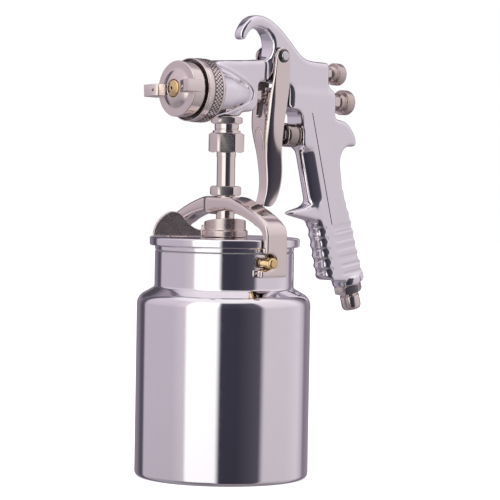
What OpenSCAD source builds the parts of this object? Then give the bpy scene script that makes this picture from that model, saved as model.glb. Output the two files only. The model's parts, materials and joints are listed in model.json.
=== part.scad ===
// Siphon feed spray gun on a one litre cup with a clamp lid.
// Origin at the centre of the cup's base, +Z up, +X the spray direction, +Y the gun's left side.

/* [Cup] */
// Outer diameter of the cup
cup_d = 106; // [98:1:118]
// Wall of the cup
cup_wall = 1.2; // [0.8:0.1:2]
// Height of the straight side
cup_side_h = 105; // [90:1:130]
// Radius of the shoulder's outer round
cup_shoulder_r = 8; // [5:0.5:10]
// Outer diameter of the neck
cup_neck_d = 85; // [78:1:90]
// Height of the neck above the shoulder
cup_neck_h = 20.7; // [19:0.1:26]
// Radius of the rounded base edge
cup_base_r = 3; // [1.5:0.5:5]

/* [Lid] */
// Overhang of the lid's flange past the neck
lid_overhang = 3.3; // [2.5:0.1:5]
// Height of the flange
lid_flange_h = 5.4; // [4:0.1:8]
// Height of the band under the flange
lid_band_h = 2.4; // [1.5:0.1:4]
// Depth of the plug inside the neck
lid_plug_h = 5; // [3:0.5:8]
// Thickness of the rim gasket
gasket_t = 0.8; // [0.5:0.1:1.5]

/* [Clamp] */
// Width of the yoke's arms
yoke_arm_w = 17; // [14:0.5:20]
// Width of the yoke's hub
yoke_hub_w = 19; // [18:0.5:22]
// Height of the yoke's hub
yoke_hub_h = 12.7; // [11:0.1:15]
// Depth of an arm
yoke_arm_h = 9; // [7:0.5:11]
// Thickness of a leg
yoke_leg_t = 5; // [3.5:0.5:7]
// Diameter of a stud
stud_d = 6.6; // [5:0.2:7]
// Distance of the studs below the rim
stud_drop = 5.2; // [4.5:0.1:7]
// Diameter of the lever's ring
lever_ring_d = 25.5; // [23:0.5:28]
// Height of the lever's ring
lever_h = 11.6; // [10.5:0.1:14]
// Reach of the lever's thumb fin from the stem
lever_reach = 44; // [40:1:52]
// Height of the thumb fin
lever_fin_h = 16; // [12:0.5:20]
// Thickness of the thumb fin
lever_fin_t = 2.4; // [2:0.1:3.5]

/* [Siphon tube] */
// Outer diameter of the tube
tube_d = 11.2; // [10:0.1:12]
// Wall of the tube
tube_wall = 1.5; // [1:0.1:2.2]
// Length of tube between the collar and the coupling nut
tube_show = 18.7; // [15:0.1:30]
// Size of the collar across its flats
collar_af = 16.5; // [15:0.5:19]
// Height of the collar
collar_h = 6; // [4:0.5:9]
// Size of the coupling nut across its flats
nut_af = 18.8; // [18:0.2:22]
// Height of the coupling nut
nut_h = 15; // [13:0.5:18]
// Outer diameter of the inlet fitting's thread
inlet_d = 14.8; // [14:0.1:15.2]
// Length of thread between the coupling nut and the lock nut
inlet_show = 4; // [2:0.5:7]
// Size of the lock nut across its flats
locknut_af = 17; // [16.5:0.5:19]
// Height of the lock nut
locknut_h = 4.5; // [3:0.5:7]

/* [Gun body] */
// Thickness of the casting across its flat sides
body_t = 15; // [13.5:0.5:17]
// Nose-up lean of the gun on its tube
gun_tilt = 2; // [0:0.5:4]
// Distance from the inlet boss's face up to the needle's axis
axis_rise = 14.4; // [13.5:0.1:17]
// Diameter of the inlet boss
boss_d = 17; // [16:0.5:20]
// Length of the grip below the needle's axis
grip_l = 113; // [104:1:122]
// Depth of a grip scallop
scallop_depth = 1; // [0.5:0.1:1.5]
// Spacing of the grip's scallops
scallop_pitch = 6.6; // [5.5:0.1:8]

/* [Spray head] */
// Outer diameter of the retaining ring
ring_d = 38.6; // [37.6:0.2:42]
// Length of the retaining ring
ring_l = 14.1; // [13.1:0.2:18]
// Length of the knurled band
knurl_l = 9.8; // [6:0.2:11]
// Number of knurl flutes
knurl_n = 40; // [24:4:60]
// Outer diameter of the air cap
cap_d = 33.6; // [32:0.2:34.4]
// Distance of the air cap's face ahead of the retaining ring
cap_show = 9.5; // [8:0.1:14]
// Height of a horn ahead of the air cap's face
horn_l = 8.3; // [6:0.1:12]
// Width of a horn
horn_w = 7.2; // [5:0.2:9]
// Diameter of the fluid tip's face
tip_d = 10; // [9:0.2:11.6]
// Diameter of the needle
needle_d = 3.2; // [2.6:0.1:3.6]

/* [Trigger] */
// Sheet thickness of the trigger
trigger_t = 1.6; // [1.2:0.1:2]
// Clearance between the trigger's cheeks and the casting
cheek_gap = 0.9; // [0.5:0.1:1.4]
// Radius of an ear round the pivot
ear_r = 5.4; // [5:0.1:7.5]
// Diameter of the pivot pin
pivot_d = 5; // [4:0.1:6]

/* [Controls] */
// Diameter of the fluid knob
fluid_knob_d = 15.8; // [14:0.2:17]
// Diameter of the fan knob
fan_knob_d = 14; // [12:0.2:15]
// Length of a knob
knob_l = 11; // [9:0.5:15]
// Height of the fan valve above the needle's axis
fan_rise = 17.4; // [17:0.1:18.4]
// Depth of the air valve below the needle's axis
valve_drop = 23; // [22:0.5:24]
// Diameter of the air valve's nut
valve_nut_d = 13; // [12.4:0.1:13.4]

/* [Air inlet] */
// Outer diameter of the nipple's thread
nipple_d = 13.2; // [12:0.1:14]
// Length of the nipple below its hexagon
nipple_l = 11; // [8:0.5:16]
// Size of the nipple's hexagon across its flats
nipple_af = 16; // [15.5:0.5:19]
// Height of the nipple's hexagon
nipple_hex_h = 5.6; // [4:0.2:8]

/* [Hidden] */
$fn = 96;

// Clearances
run = 0.3;     // between pieces that move past each other
seat = 0.03;   // between pieces that are fixed to each other
over = 1;      // how far a cut runs past the face that it opens

// Heights of the stack from the cup's base to the needle's axis
shoulder_angle = 60;
shoulder_fillet = 2;
cup_floor = 1.5 * cup_wall;
cup_r = cup_d / 2;
neck_r = cup_neck_d / 2;
neck_bore_r = neck_r - cup_wall;
shoulder_rounds = (cup_shoulder_r + shoulder_fillet) * (1 - cos(shoulder_angle));
shoulder_slope = (cup_r - neck_r - shoulder_rounds) / sin(shoulder_angle);
shoulder_h = (cup_shoulder_r + shoulder_fillet) * sin(shoulder_angle)
    + shoulder_slope * cos(shoulder_angle);
neck_z = cup_side_h + shoulder_h;
rim_z = neck_z + cup_neck_h;
lid_z = rim_z + gasket_t;
flange_z = lid_z + lid_band_h;
lid_top_z = flange_z + lid_flange_h;
lid_r = neck_r + lid_overhang;
lever_z = lid_top_z + run;
hub_z = lever_z + lever_h + run;
hub_top_z = hub_z + yoke_hub_h;
collar_z = hub_top_z + run;
nut_z = collar_z + collar_h + tube_show;
nut_top_z = nut_z + nut_h;
locknut_z = nut_top_z + inlet_show;
boss_z = locknut_z + locknut_h;
axis_z = boss_z + axis_rise;
stud_z = rim_z - stud_drop;

// The hexagons stand with one flat this far round from +Y
hex_turn = 18;

// Clamp
stud_angle = 8.5;             // how far the studs lie round from the yoke's arms
leg_in = neck_r + 0.9;        // inner face of a leg
leg_out = leg_in + yoke_leg_t;
hub_half_l = 9.5;             // half the hub's length along the arms
arm_flat = 12.5;              // half the flat top of the yoke
arm_bend_r = 14;
shoulder_fall = 12;           // how far an arm falls to the bend above its leg
leg_round = 11;
leg_below_stud = 9;           // how far a leg reaches below its stud
slot_rise = 1.6;              // slot room above the stud for the yoke's release travel
toe_reach = 4;                // how far the hook's toe stands ahead of its leg
toe_h = 5;
stud_proud = 0.5;             // how far a stud's head reaches past the cup's side
stud_round = 1.2;
cam_lean = 10;                // slope of the cam faces of hub and lever
cam_turn = -120;              // where the cam faces are highest
lever_angle = -37;            // direction of the thumb fin
lever_flange_h = 4;
lever_flange_extra = 1.2;     // how far the lever's bottom flange stands past its ring
notch_gap = 1.2;              // room for a leg in the lid's notch

// Gun frame: origin where the needle's axis crosses the tube's axis, x forward, z up
half_t = body_t / 2;
neck_half_t = half_t - 1.5;   // the waist that the trigger straddles is thinner
nose_x = 17;                  // rear edge of the retaining ring
spigot_l = 5.4;
spigot_x = nose_x + spigot_l; // front face of the casting
barrel_end_x = -25.2;
window_top = 7.8;             // ceiling of the gap that the trigger swings in
rear_x = -46;                 // front edge of the rear block
pivot = [-36.5, 25];
hook_eye = [-20.5, 30];       // centre of the hanging hook's gap
hook_eye_r = 11;
fan_face_x = -80.3;           // rear face round the fan valve
fluid_face_x = -86.8;         // rear face round the fluid valve
valve_face_x = -57.5;         // front face round the air valve
grip_lean = 16.6;             // lean of the grip's front
grip_rear_lean = 21;
grip_top = [-60.8, -33];      // upper end of the grip's front
grip_rear_top = [-94.2, -46.6];
grip_round = 3;               // edge round along the grip's rear
grip_edge = 0.7;              // how far the rounds start inside the flat sides
inlet_boss_d = 19;
inlet_boss_h = 2;
nipple_in = 10;               // how deep the nipple is screwed into the grip

// Spray head stations and radii
ring_r = ring_d / 2;
ring_wall = 1.2;
ring_bore_r = ring_r - ring_wall;
ring_mouth_r = ring_r - 1;    // recess round the air cap
spigot_r = ring_bore_r - run;
ring_x = nose_x + run;
ring_end_x = ring_x + ring_l;
cap_r = cap_d / 2;
cap_face_x = ring_end_x + cap_show;
baffle_t = 2.4;
cap_back_x = spigot_x + baffle_t + run;
snap_x = cap_back_x + 1.2;    // rear face of the snap ring
snap_t = 1.1;
snap_depth = 0.6;             // how deep it sits in the air cap's groove
lip_x = snap_x + snap_t + run;
lip_t = 1.6;
horn_out = 3.6;               // how far a horn stands out past the air cap's side
horn_t = 10.3;
horn_land = 3.9;              // flat part of a horn's end, outside the leaning face of its jet
horn_fall = 2.4;              // how far that face falls back
horn_root = 2.2;              // how far a horn runs back along the air cap's side
jet_d = 1.8;
jet_lean = 45;
cap_turn = 5;                 // how far round the air cap is set
cap_crown_r = 11.8;           // outer radius of the raised middle
cap_crown_h = 2.6;
cap_hole_r = tip_d / 2 + 0.4;
crown_x = cap_face_x + cap_crown_h;
tip_shank_r = 6;
tip_shank_l = 12;
tip_hex_r = 7;
tip_hex_l = 4.5;
tip_face_x = crown_x + 0.6;
tip_end_x = tip_face_x + 0.9; // end of the fluid nozzle
tip_bore_r = needle_d / 2 + run;

// Needle train stations
chamber_r = 3.5;              // fluid chamber and inlet passage
chamber_end_x = -4;
pack_r = 3.6;
pack_x = -13.5;               // front of the packing
barrel_back_x = -20;          // rear face of the barrel round the needle
pack_nut_l = 5.2;
pack_nut_af = 9;
web_x = -29.3;                // front of the trigger's web at the needle
collar_x = -33.4;             // front of the needle's collar
needle_collar_l = 5;
needle_collar_r = 4.6;
tail_r = 2.2;
tail_end_x = -79.6;
guide_end_x = -54;
spring_bore_r = 4.9;
shoulder_x = -57;             // front of the needle's spring shoulder
shoulder_l = 2;
bushing_thread_r = 6;
bushing_l = 6;
bushing_hex_l = 5.6;
bushing_af = 9.4;
screw_r = 2.9;

// Fan valve stations
fan_bore_r = 4.5;
fan_bore_x = -60;
fan_thread_l = 10;
fan_hex_l = 4.2;
fan_af = 7.8;
fan_stem_r = 2.2;
fan_seal_l = 2;

// Air valve stations
valve_bore_r = 5.5;
valve_bore_x = -69.8;
valve_nut_l = 10.5;
valve_thread_l = 8.6;
valve_pocket_r = 4;
valve_pocket_l = 6;
valve_seat_l = 3.4;
valve_seat_r = 2.6;
valve_stem_r = 2;
valve_head_r = 3;
valve_tip_x = -32.6;          // front of the stem, just behind the trigger's web
gland_af = 8.4;
gland_l = 4.4;
poppet_r = 3.6;
poppet_l = 2.8;
spring_end_x = -93;           // bottom of the spring's hole
spring_room_r = 4;
air_way_r = 4;

// Points on an arc about c, from angle a0 to a1
function arc(c, r, a0, a1, n = 12) =
    [for (i = [0 : n]) let (a = a0 + (a1 - a0) * i / n) c + r * [cos(a), sin(a)]];

// Smooth curve through the points p, n steps between each two
function spline(p, n = 5) = concat(
    [for (i = [0 : len(p) - 2], k = [0 : n - 1])
        let (t = k / n, a = p[max(i - 1, 0)], b = p[i], c = p[i + 1], d = p[min(i + 2, len(p) - 1)])
        0.5 * (2 * b + (c - a) * t + (2 * a - 5 * b + 4 * c - d) * t * t
            + (3 * b - a - 3 * c + d) * t * t * t)],
    [p[len(p) - 1]]);

// Points of a coil along +Z, r its mean radius
function coil_point(r, h, turns, a) = [r * cos(a), r * sin(a), h * a / (360 * turns)];

// Places the gun frame on the tube
module gun() translate([0, 0, axis_z]) rotate([0, -gun_tilt, 0]) children();

// A plate of half thickness t from an outline drawn in x and z
module plate(t) rotate([90, 0, 0]) linear_extrude(2 * t, center = true) children();

// A turned piece along x from a profile of [radius, x]
module turned(p, z = 0) translate([0, 0, z]) rotate([0, 90, 0]) rotate_extrude() polygon(p);

// A round rod along x
module rod(x0, x1, r, z = 0) translate([x0, 0, z]) rotate([0, 90, 0]) cylinder(h = x1 - x0, r = r);

// A hexagonal rod along x
module hex_rod(x0, x1, af, z = 0)
    translate([x0, 0, z]) rotate([0, 90, 0]) cylinder(h = x1 - x0, d = af / cos(30), $fn = 6);

// A ring along x
module sleeve(x0, x1, r_out, r_in, z = 0) difference() {
    rod(x0, x1, r_out, z);
    rod(x0 - over, x1 + over, r_in, z);
}

// An upright hexagon, faced round at both ends
module hex_nut(z, h, af) intersection() {
    translate([0, 0, z]) rotate(hex_turn) cylinder(h = h, d = af / cos(30), $fn = 6);
    chamfer_h = (af / cos(30) - af) / 2 * tan(30) + 0.2;
    translate([0, 0, z]) rotate_extrude() polygon([[0, 0], [af / 2, 0],
        [af / cos(30) / 2 + 0.1, chamfer_h], [af / cos(30) / 2 + 0.1, h - chamfer_h], [af / 2, h], [0, h]]);
}

// A coil spring along +Z, one tube of six sides and eight rings a turn
module coil_spring(r, h, turns, wire) {
    sides = 6;
    rings = 8 * turns;
    slope = atan(h / (2 * PI * r * turns));
    points = [for (i = [0 : rings], k = [0 : sides - 1])
        let (a = 360 * turns * i / rings, b = 360 * k / sides, c = coil_point(r, h, turns, a))
        c + wire / 2 * (cos(b) * [cos(a), sin(a), 0]
            + sin(b) * [sin(slope) * sin(a), -sin(slope) * cos(a), cos(slope)])];
    walls = [for (i = [0 : rings - 1], k = [0 : sides - 1])
        let (a = i * sides + k, b = i * sides + (k + 1) % sides)
        each [[a, a + sides, b], [b, a + sides, b + sides]]];
    caps = [for (k = [1 : sides - 2]) each [[0, k, k + 1],
        [rings * sides, rings * sides + k + 1, rings * sides + k]]];
    gap = h / turns * cos(slope) - wire;
    echo(spring_turn_gap = gap);
    polyhedron(points, concat(walls, caps));
}

// Half outline of the cup, set in from the outside by e, from the floor to the rim
function cup_outline(e) = concat(
    arc([cup_r - cup_base_r, cup_base_r], max(cup_base_r - e, 0.01), -90, 0, 6),
    arc([cup_r - cup_shoulder_r, cup_side_h], cup_shoulder_r - e, 0, shoulder_angle, 8),
    arc([neck_r + shoulder_fillet, neck_z], shoulder_fillet + e, 180 + shoulder_angle, 180, 6),
    [[neck_r - e, rim_z]]);

// Thin drawn cup: wall, rounded base edge, shoulder and neck, with holes for the studs
module cup() color("lightgray") difference() {
    rotate_extrude() difference() {
        polygon(concat([[0, 0]], cup_outline(0), [[0, rim_z]]));
        polygon(concat([[0, cup_floor]],
            [for (p = cup_outline(cup_wall)) [p[0], max(p[1], cup_floor)]],
            [[neck_bore_r, rim_z + over], [0, rim_z + over]]));
    }
    for (side = [0, 180]) stud_place(side) rotate([0, 90, 0])
        cylinder(h = leg_out, d = stud_d - 1 + 2 * seat);
}

// Puts a stud's axis along +x at its place on the neck
module stud_place(side) rotate(90 - stud_angle + side) translate([0, 0, stud_z]) children();

// Two shouldered studs with domed heads, riveted through the neck
module cup_studs() color("goldenrod") for (side = [0, 180]) stud_place(side) {
    shank_r = stud_d / 2 - 0.5;
    shank_in = neck_bore_r - 0.1;
    shoulder_in = neck_r + 0.4;
    head_x = cup_r + stud_proud - stud_round;
    rotate([0, 90, 0]) rotate_extrude() polygon(concat(
        [[0, shank_in], [shank_r, shank_in], [shank_r, shoulder_in], [stud_d / 2, shoulder_in]],
        arc([stud_d / 2 - stud_round, head_x], stud_round, 0, 90, 5),
        [[0, head_x + stud_round]]));
}

// Pressed lid: flange, band and plug, with notches that guide the yoke's legs
module cup_lid() color("silver") difference() {
    edge = 1.2;
    rotate_extrude() polygon(concat(
        [[0, rim_z - lid_plug_h], [neck_bore_r - 0.4, rim_z - lid_plug_h], [neck_bore_r - 0.4, lid_z],
            [neck_r, lid_z], [neck_r, flange_z]],
        arc([lid_r - edge, flange_z + edge], edge, -90, 0, 5),
        arc([lid_r - edge, lid_top_z - edge], edge, 0, 90, 5),
        [[0, lid_top_z]]));
    translate([0, 0, rim_z - lid_plug_h - over]) cylinder(h = lid_plug_h - 2 + over, r = neck_bore_r - 3);
    cylinder(h = lid_top_z + over, d = tube_d + 2 * seat);
    for (side = [0, 180]) rotate(side)
        translate([arm_near_x - yoke_arm_w - notch_gap, neck_r + seat, flange_z - over])
            cube([yoke_arm_w + 2 * notch_gap, lid_overhang + 1, lid_flange_h + 2 * over]);
    rotate(200) translate([neck_bore_r - 9, 0, 0]) cylinder(h = lid_top_z + over, d = 2.4);
}

// Flat ring between the rim and the lid's band
module lid_gasket() color("dimgray") translate([0, 0, rim_z]) difference() {
    cylinder(h = gasket_t, r = neck_r - 0.4);
    translate([0, 0, -over]) cylinder(h = gasket_t + 2 * over, r = neck_bore_r - 0.35);
}

// Front face of the near arm, flush with the hub
arm_near_x = yoke_hub_w / 2;

// Outline of one arm and its leg, in y and z
module arm_outline() {
    hub_y = hub_half_l - 1;
    leg_bottom = stud_z - leg_below_stud;
    corner_z = hub_top_z - shoulder_fall - leg_round;
    slope = atan(shoulder_fall / (leg_out - leg_round - arm_flat));
    rise = [sin(slope), cos(slope)];
    outer = concat([[hub_y, hub_top_z]],
        arc([arm_flat - arm_bend_r * tan(slope / 2), hub_top_z - arm_bend_r],
            arm_bend_r, 90, 90 - slope, 5),
        arc([leg_out - leg_round, corner_z], leg_round, 90 - slope, 0, 8), [[leg_out, leg_bottom]]);
    inner_r = max(leg_round - yoke_leg_t, 1);
    inner = concat([[leg_in, leg_bottom]],
        arc([leg_in - inner_r, corner_z - 1], inner_r, 0, 90 - slope, 5),
        [[arm_flat, hub_top_z] - yoke_arm_h * rise, [hub_y, hub_top_z - yoke_arm_h]]);
    polygon(concat(outer, inner));
}

// One arm of the yoke with the hooked slot that its stud lies in
module yoke_arm() difference() {
    union() {
        translate([arm_near_x - yoke_arm_w, 0, 0]) rotate([90, 0, 90])
            linear_extrude(yoke_arm_w) arm_outline();
        translate([arm_near_x - 1, leg_in, stud_z - leg_below_stud])
            cube([toe_reach + 1, yoke_leg_t, toe_h]);
    }
    stud_x = leg_in * sin(stud_angle);
    slot_h = stud_d + 2 * run + slot_rise;
    translate([stud_x, leg_in - over, stud_z - stud_d / 2 - run])
        cube([yoke_hub_w, yoke_leg_t + 2 * over, slot_h]);
    translate([stud_x, leg_in - over, stud_z - stud_d / 2 - run + slot_h / 2]) rotate([-90, 0, 0])
        cylinder(h = yoke_leg_t + 2 * over, d = slot_h);
}

// Leaning plane of the cam pair: everything above it, h its height at the stem
module above_cam(h) translate([0, 0, h]) rotate(cam_turn) rotate([0, cam_lean, 0])
    translate([-50, -50, 0]) cube([100, 100, 50]);

// The same plane from below
module below_cam(h) translate([0, 0, h]) rotate(cam_turn) rotate([0, cam_lean, 0])
    translate([-50, -50, -50]) cube([100, 100, 50]);

// Half the cam's rise across the lever's ring
cam_half = lever_ring_d / 2 * tan(cam_lean);

// Clamp yoke: hub with its cam face, two arms and two hooked legs
module yoke() color("rosybrown") difference() {
    union() {
        translate([-yoke_hub_w / 2, -hub_half_l, hub_z]) cube([yoke_hub_w, 2 * hub_half_l, yoke_hub_h]);
        yoke_arm();
        rotate(180) yoke_arm();
    }
    cylinder(h = axis_z, d = tube_d + 2 * run);
    intersection() {
        translate([-yoke_hub_w, -hub_half_l - over, hub_z - over])
            cube([2 * yoke_hub_w, 2 * (hub_half_l + over), 3 * cam_half]);
        below_cam(hub_z + cam_half);
    }
}

// Cam lever: ring with a leaning face, wide bottom flange and a half round thumb fin
module cam_lever() color("dimgray") difference() {
    ring_r = lever_ring_d / 2;
    flange_r = ring_r + lever_flange_extra;
    union() {
        difference() {
            translate([0, 0, lever_z]) cylinder(h = lever_h, r = ring_r);
            above_cam(lever_z + lever_h - cam_half);
        }
        translate([0, 0, lever_z]) cylinder(h = lever_flange_h, r = flange_r);
        rotate(lever_angle) translate([0, 0, lever_z]) intersection() {
            fin_x = lever_reach - lever_fin_h;
            plate(lever_fin_t / 2) polygon(concat([[ring_r - 2, 0], [lever_reach, 0]],
                arc([fin_x, 0], lever_fin_h, 0, 115, 14), [[ring_r - 2, lever_flange_h]]));
            translate([ring_r - 3, -lever_fin_t, 0]) cube([lever_reach, 2 * lever_fin_t, lever_fin_h]);
        }
    }
    cylinder(h = axis_z, d = tube_d + 2 * run);
}

// Dip tube with a slanted foot, and a flared collar that the coupling nut draws up
tube_flare_z = nut_top_z - 6.5;
tube_foot_z = cup_floor + 6;
flare_r = inlet_d / 2 - 1.2;
foot_lean = 24;               // slant of the tube's open foot
module siphon_tube() color("silver") difference() {
    rotate_extrude() polygon([[0, tube_foot_z], [tube_d / 2, tube_foot_z], [tube_d / 2, tube_flare_z - 2],
        [flare_r, tube_flare_z - 2], [flare_r, tube_flare_z - 0.5], [tube_d / 2, tube_flare_z],
        [0, tube_flare_z]]);
    translate([0, 0, tube_foot_z - over]) cylinder(h = axis_z, d = tube_d - 2 * tube_wall);
    translate([tube_d / 2, -tube_d, tube_foot_z]) rotate([0, foot_lean, 0])
        translate([-3 * tube_d, 0, -2 * tube_d]) cube([4 * tube_d, 2 * tube_d, 2 * tube_d]);
}

// Hexagonal collar on the tube, over the yoke's hub
module stem_collar() color("rosybrown") difference() {
    hex_nut(collar_z, collar_h, collar_af);
    cylinder(h = axis_z, d = tube_d + 2 * seat);
}

// Thin nut that holds the tube in the lid, inside the cup
module tube_lock_nut() color("rosybrown") difference() {
    hex_nut(rim_z - 2 - 4, 4, collar_af);
    cylinder(h = axis_z, d = tube_d + 2 * seat);
}

// Coupling nut: hexagon between two round faces, shouldered inside under the tube's collar
module coupling_nut() color("rosybrown") difference() {
    face_h = 1.4;
    union() {
        hex_nut(nut_z + face_h, nut_h - 2 * face_h, nut_af);
        translate([0, 0, nut_z]) cylinder(h = nut_h, d = nut_af - 1.6);
    }
    translate([0, 0, nut_z - over]) cylinder(h = nut_h + 2 * over, d = tube_d + 2 * run);
    translate([0, 0, tube_flare_z - 2 - run]) cylinder(h = nut_h, r = inlet_d / 2 + run);
}

// Threaded fitting screwed into the casting, with the seat for the tube
module fluid_inlet_fitting() color("rosybrown") difference() {
    translate([0, 0, tube_flare_z + run]) cylinder(h = boss_z - tube_flare_z - run, d = inlet_d);
    translate([0, 0, tube_flare_z - over]) cylinder(h = axis_z, r = chamber_r);
}

// Lock nut against the inlet boss
module inlet_locknut() color("rosybrown") difference() {
    hex_nut(locknut_z, locknut_h - seat, locknut_af);
    cylinder(h = axis_z, d = inlet_d + 2 * seat);
}

// Ogive nose of the casting: radius at x
function nose_r(x) = 11.5 + 0.3 * x + 0.0022 * x * x;

// Outline of the hanging hook, its gap still filled
hook_tip = [-7.4, 33.2];
hook_back = [[-6.2, 34.6], [-6.4, 37.2], [-8.2, 40.8], [-11.4, 44.6], [-15.4, 47.7], [-21, 49],
    [-28.5, 47.2], [-38.2, 41.2], [-47.1, 33.9], [-54.4, 27.7], [-60, 24.8], [-66, 23.9]];
module hook_outline() difference() {
    root_x = barrel_end_x - 1.4;
    root_z = window_top + 6;
    polygon(concat([hook_tip], spline(hook_back), [[-66, root_z], [root_x, root_z], [root_x, 22], hook_eye]));
    translate(hook_eye) circle(r = hook_eye_r);
}

// Outline of the flat sided barrel behind the nose
module barrel_outline() polygon(concat([[nose_x, 16], [nose_x - 4, 18.9], [barrel_end_x, 21.8],
    [barrel_end_x, window_top], [barrel_back_x, window_top]],
    arc([barrel_back_x + 7, -4], 7, 180, 270, 6), [[nose_x - 6, -11]]));

// Outline of the rear block with its hand stop
hand_stop = [[-90, -11.3], [-95, -11.9], [-99.6, -14.6], [-104.2, -19.6], [-106.3, -25], [-105.4, -27.8],
    [-101, -27.7], [-96.9, -28.8], [-94.2, -32], [-92.8, -37.4]];
module rear_outline() polygon(concat(
    [[rear_x, window_top], [rear_x, 23.9], [fan_face_x + 1.5, 23.9]],
    arc([fan_face_x + 1.5, 22.4], 1.5, 90, 180, 4),
    [[fan_face_x, 9.4], [fluid_face_x, 5.2], [fluid_face_x, -10.6]],
    spline(concat(hand_stop, [grip_rear_top])),
    [[grip_top[0] - 12, grip_rear_top[1] - 4], [grip_top[0] - 6, grip_top[1] - 2],
        [valve_face_x - 1.5, grip_top[1] + 4], [valve_face_x, -11], [valve_face_x + 3, -7.6],
        [rear_x - 2, -6.6], [rear_x, -4.6]]));

// Outline of the grip, straight front and rear
grip_z = -grip_l;
function grip_front_x(z) = grip_top[0] + (z - grip_top[1]) * tan(grip_lean);
function grip_rear_x(z) = grip_rear_top[0] + (z - grip_rear_top[1]) * tan(grip_rear_lean);
module grip_outline() polygon([[grip_front_x(-25), -25], [grip_front_x(grip_z + 3), grip_z + 3],
    [grip_front_x(grip_z) - 3, grip_z], [grip_rear_x(grip_z) + 3, grip_z],
    [grip_rear_x(grip_z + 3), grip_z + 3], grip_rear_top, [grip_rear_top[0] + 12, -25]]);

// Grip: side outline cut to a section that is round in front and eased behind
module grip() intersection() {
    flank = half_t + 2;
    front_r = half_t + grip_edge;
    plate(half_t) grip_outline();
    translate([grip_top[0], 0, grip_top[1]]) rotate([0, grip_lean, 0]) translate([0, 0, -grip_l])
        linear_extrude(grip_l + 40) {
            translate([-front_r, 0]) circle(front_r);
            translate([-front_r - 60, -flank]) square([60, 2 * flank]);
        }
    translate([grip_rear_top[0], 0, grip_rear_top[1]]) rotate([0, grip_rear_lean, 0])
        translate([0, 0, -grip_l]) linear_extrude(grip_l + 60) {
            for (side = [-1, 1]) translate([grip_round, side * (half_t + grip_edge - grip_round)])
                circle(grip_round);
            translate([grip_round, -flank]) square([80, 2 * flank]);
            translate([0, grip_round - half_t - grip_edge])
                square([grip_round + 1, 2 * (half_t + grip_edge - grip_round)]);
        }
}

// Finger spur on the grip's front, narrowing to its tip
spur_z = -71.6;
module spur() intersection() {
    spur_x = grip_front_x(spur_z);
    plate(half_t) polygon(concat(arc([spur_x + 18, spur_z], 1.3, 60, -90, 6),
        [[spur_x - 2, spur_z - 4.4], [spur_x - 8, spur_z - 4.4], [spur_x - 8, spur_z + 8],
            [spur_x - 1, spur_z + 7.2], [spur_x + 6, spur_z + 4.2]]));
    translate([0, 0, spur_z - 20]) linear_extrude(40) polygon([[spur_x + 20, -2.6], [spur_x + 20, 2.6],
        [spur_x - half_t, half_t], [spur_x - half_t - 10, half_t], [spur_x - half_t - 10, -half_t],
        [spur_x - half_t, -half_t]]);
}

// Scallops of the grip: front under the spur, rear all along, shallow ribs on the sides
function scallop_radius(depth) = scallop_pitch * scallop_pitch / (8 * depth) + depth / 2;
scallop_r = scallop_radius(scallop_depth);
rear_scallop_depth = 1.5 * scallop_depth;
rear_scallop_r = scallop_radius(rear_scallop_depth);
rib_depth = 0.35;             // hollows between the ribs on the grip's sides
rib_r = scallop_radius(rib_depth) / 2;
rib_lean = 11;
front_run = 4;                // plain edge ahead of the ribs
rib_l = 60;
module scallops() {
    front_n = floor((grip_l + spur_z - 8) / (scallop_pitch * cos(grip_lean)));
    for (i = [0 : front_n - 1]) let (z = spur_z - 8 - i * scallop_pitch * cos(grip_lean))
        translate([grip_front_x(z) + scallop_r - scallop_depth, 0, z]) rotate([90, 0, 0])
            cylinder(h = body_t + 2 * over, r = scallop_r, center = true);
    rear_n = floor((grip_l + grip_rear_top[1] - 8) / (scallop_pitch * cos(grip_rear_lean)));
    for (i = [0 : rear_n - 1]) let (z = grip_rear_top[1] - 6 - i * scallop_pitch * cos(grip_rear_lean))
        translate([grip_rear_x(z) - rear_scallop_r + rear_scallop_depth, 0, z]) rotate([90, 0, 0])
            cylinder(h = body_t + 2 * over, r = rear_scallop_r, center = true);
    for (i = [0 : front_n - 2], side = [-1, 1])
        let (z = spur_z - 8 - (i + 0.5) * scallop_pitch * cos(grip_lean))
        translate([grip_front_x(z), side * (half_t + rib_r - rib_depth), z])
            rotate([0, rib_lean - 90, 0]) translate([0, 0, front_run]) cylinder(h = rib_l, r = rib_r);
}

// Fine groove down each side of the grip
groove_w = 0.7;
groove_depth = 0.4;
module side_grooves() for (y = [-half_t, half_t])
    translate([-66.5, y, -13]) rotate([0, grip_lean, 0]) translate([-groove_w / 2, -groove_depth, -66])
        cube([groove_w, 2 * groove_depth, 66]);

// Frame of the air inlet: origin on the grip's bottom, z along the air way
inlet_lean = (grip_lean + grip_rear_lean) / 2;
inlet_x = (grip_front_x(grip_z) + grip_rear_x(grip_z)) / 2 - 7;
module inlet_frame() gun() translate([inlet_x, 0, grip_z]) rotate([0, inlet_lean, 0]) children();

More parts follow.
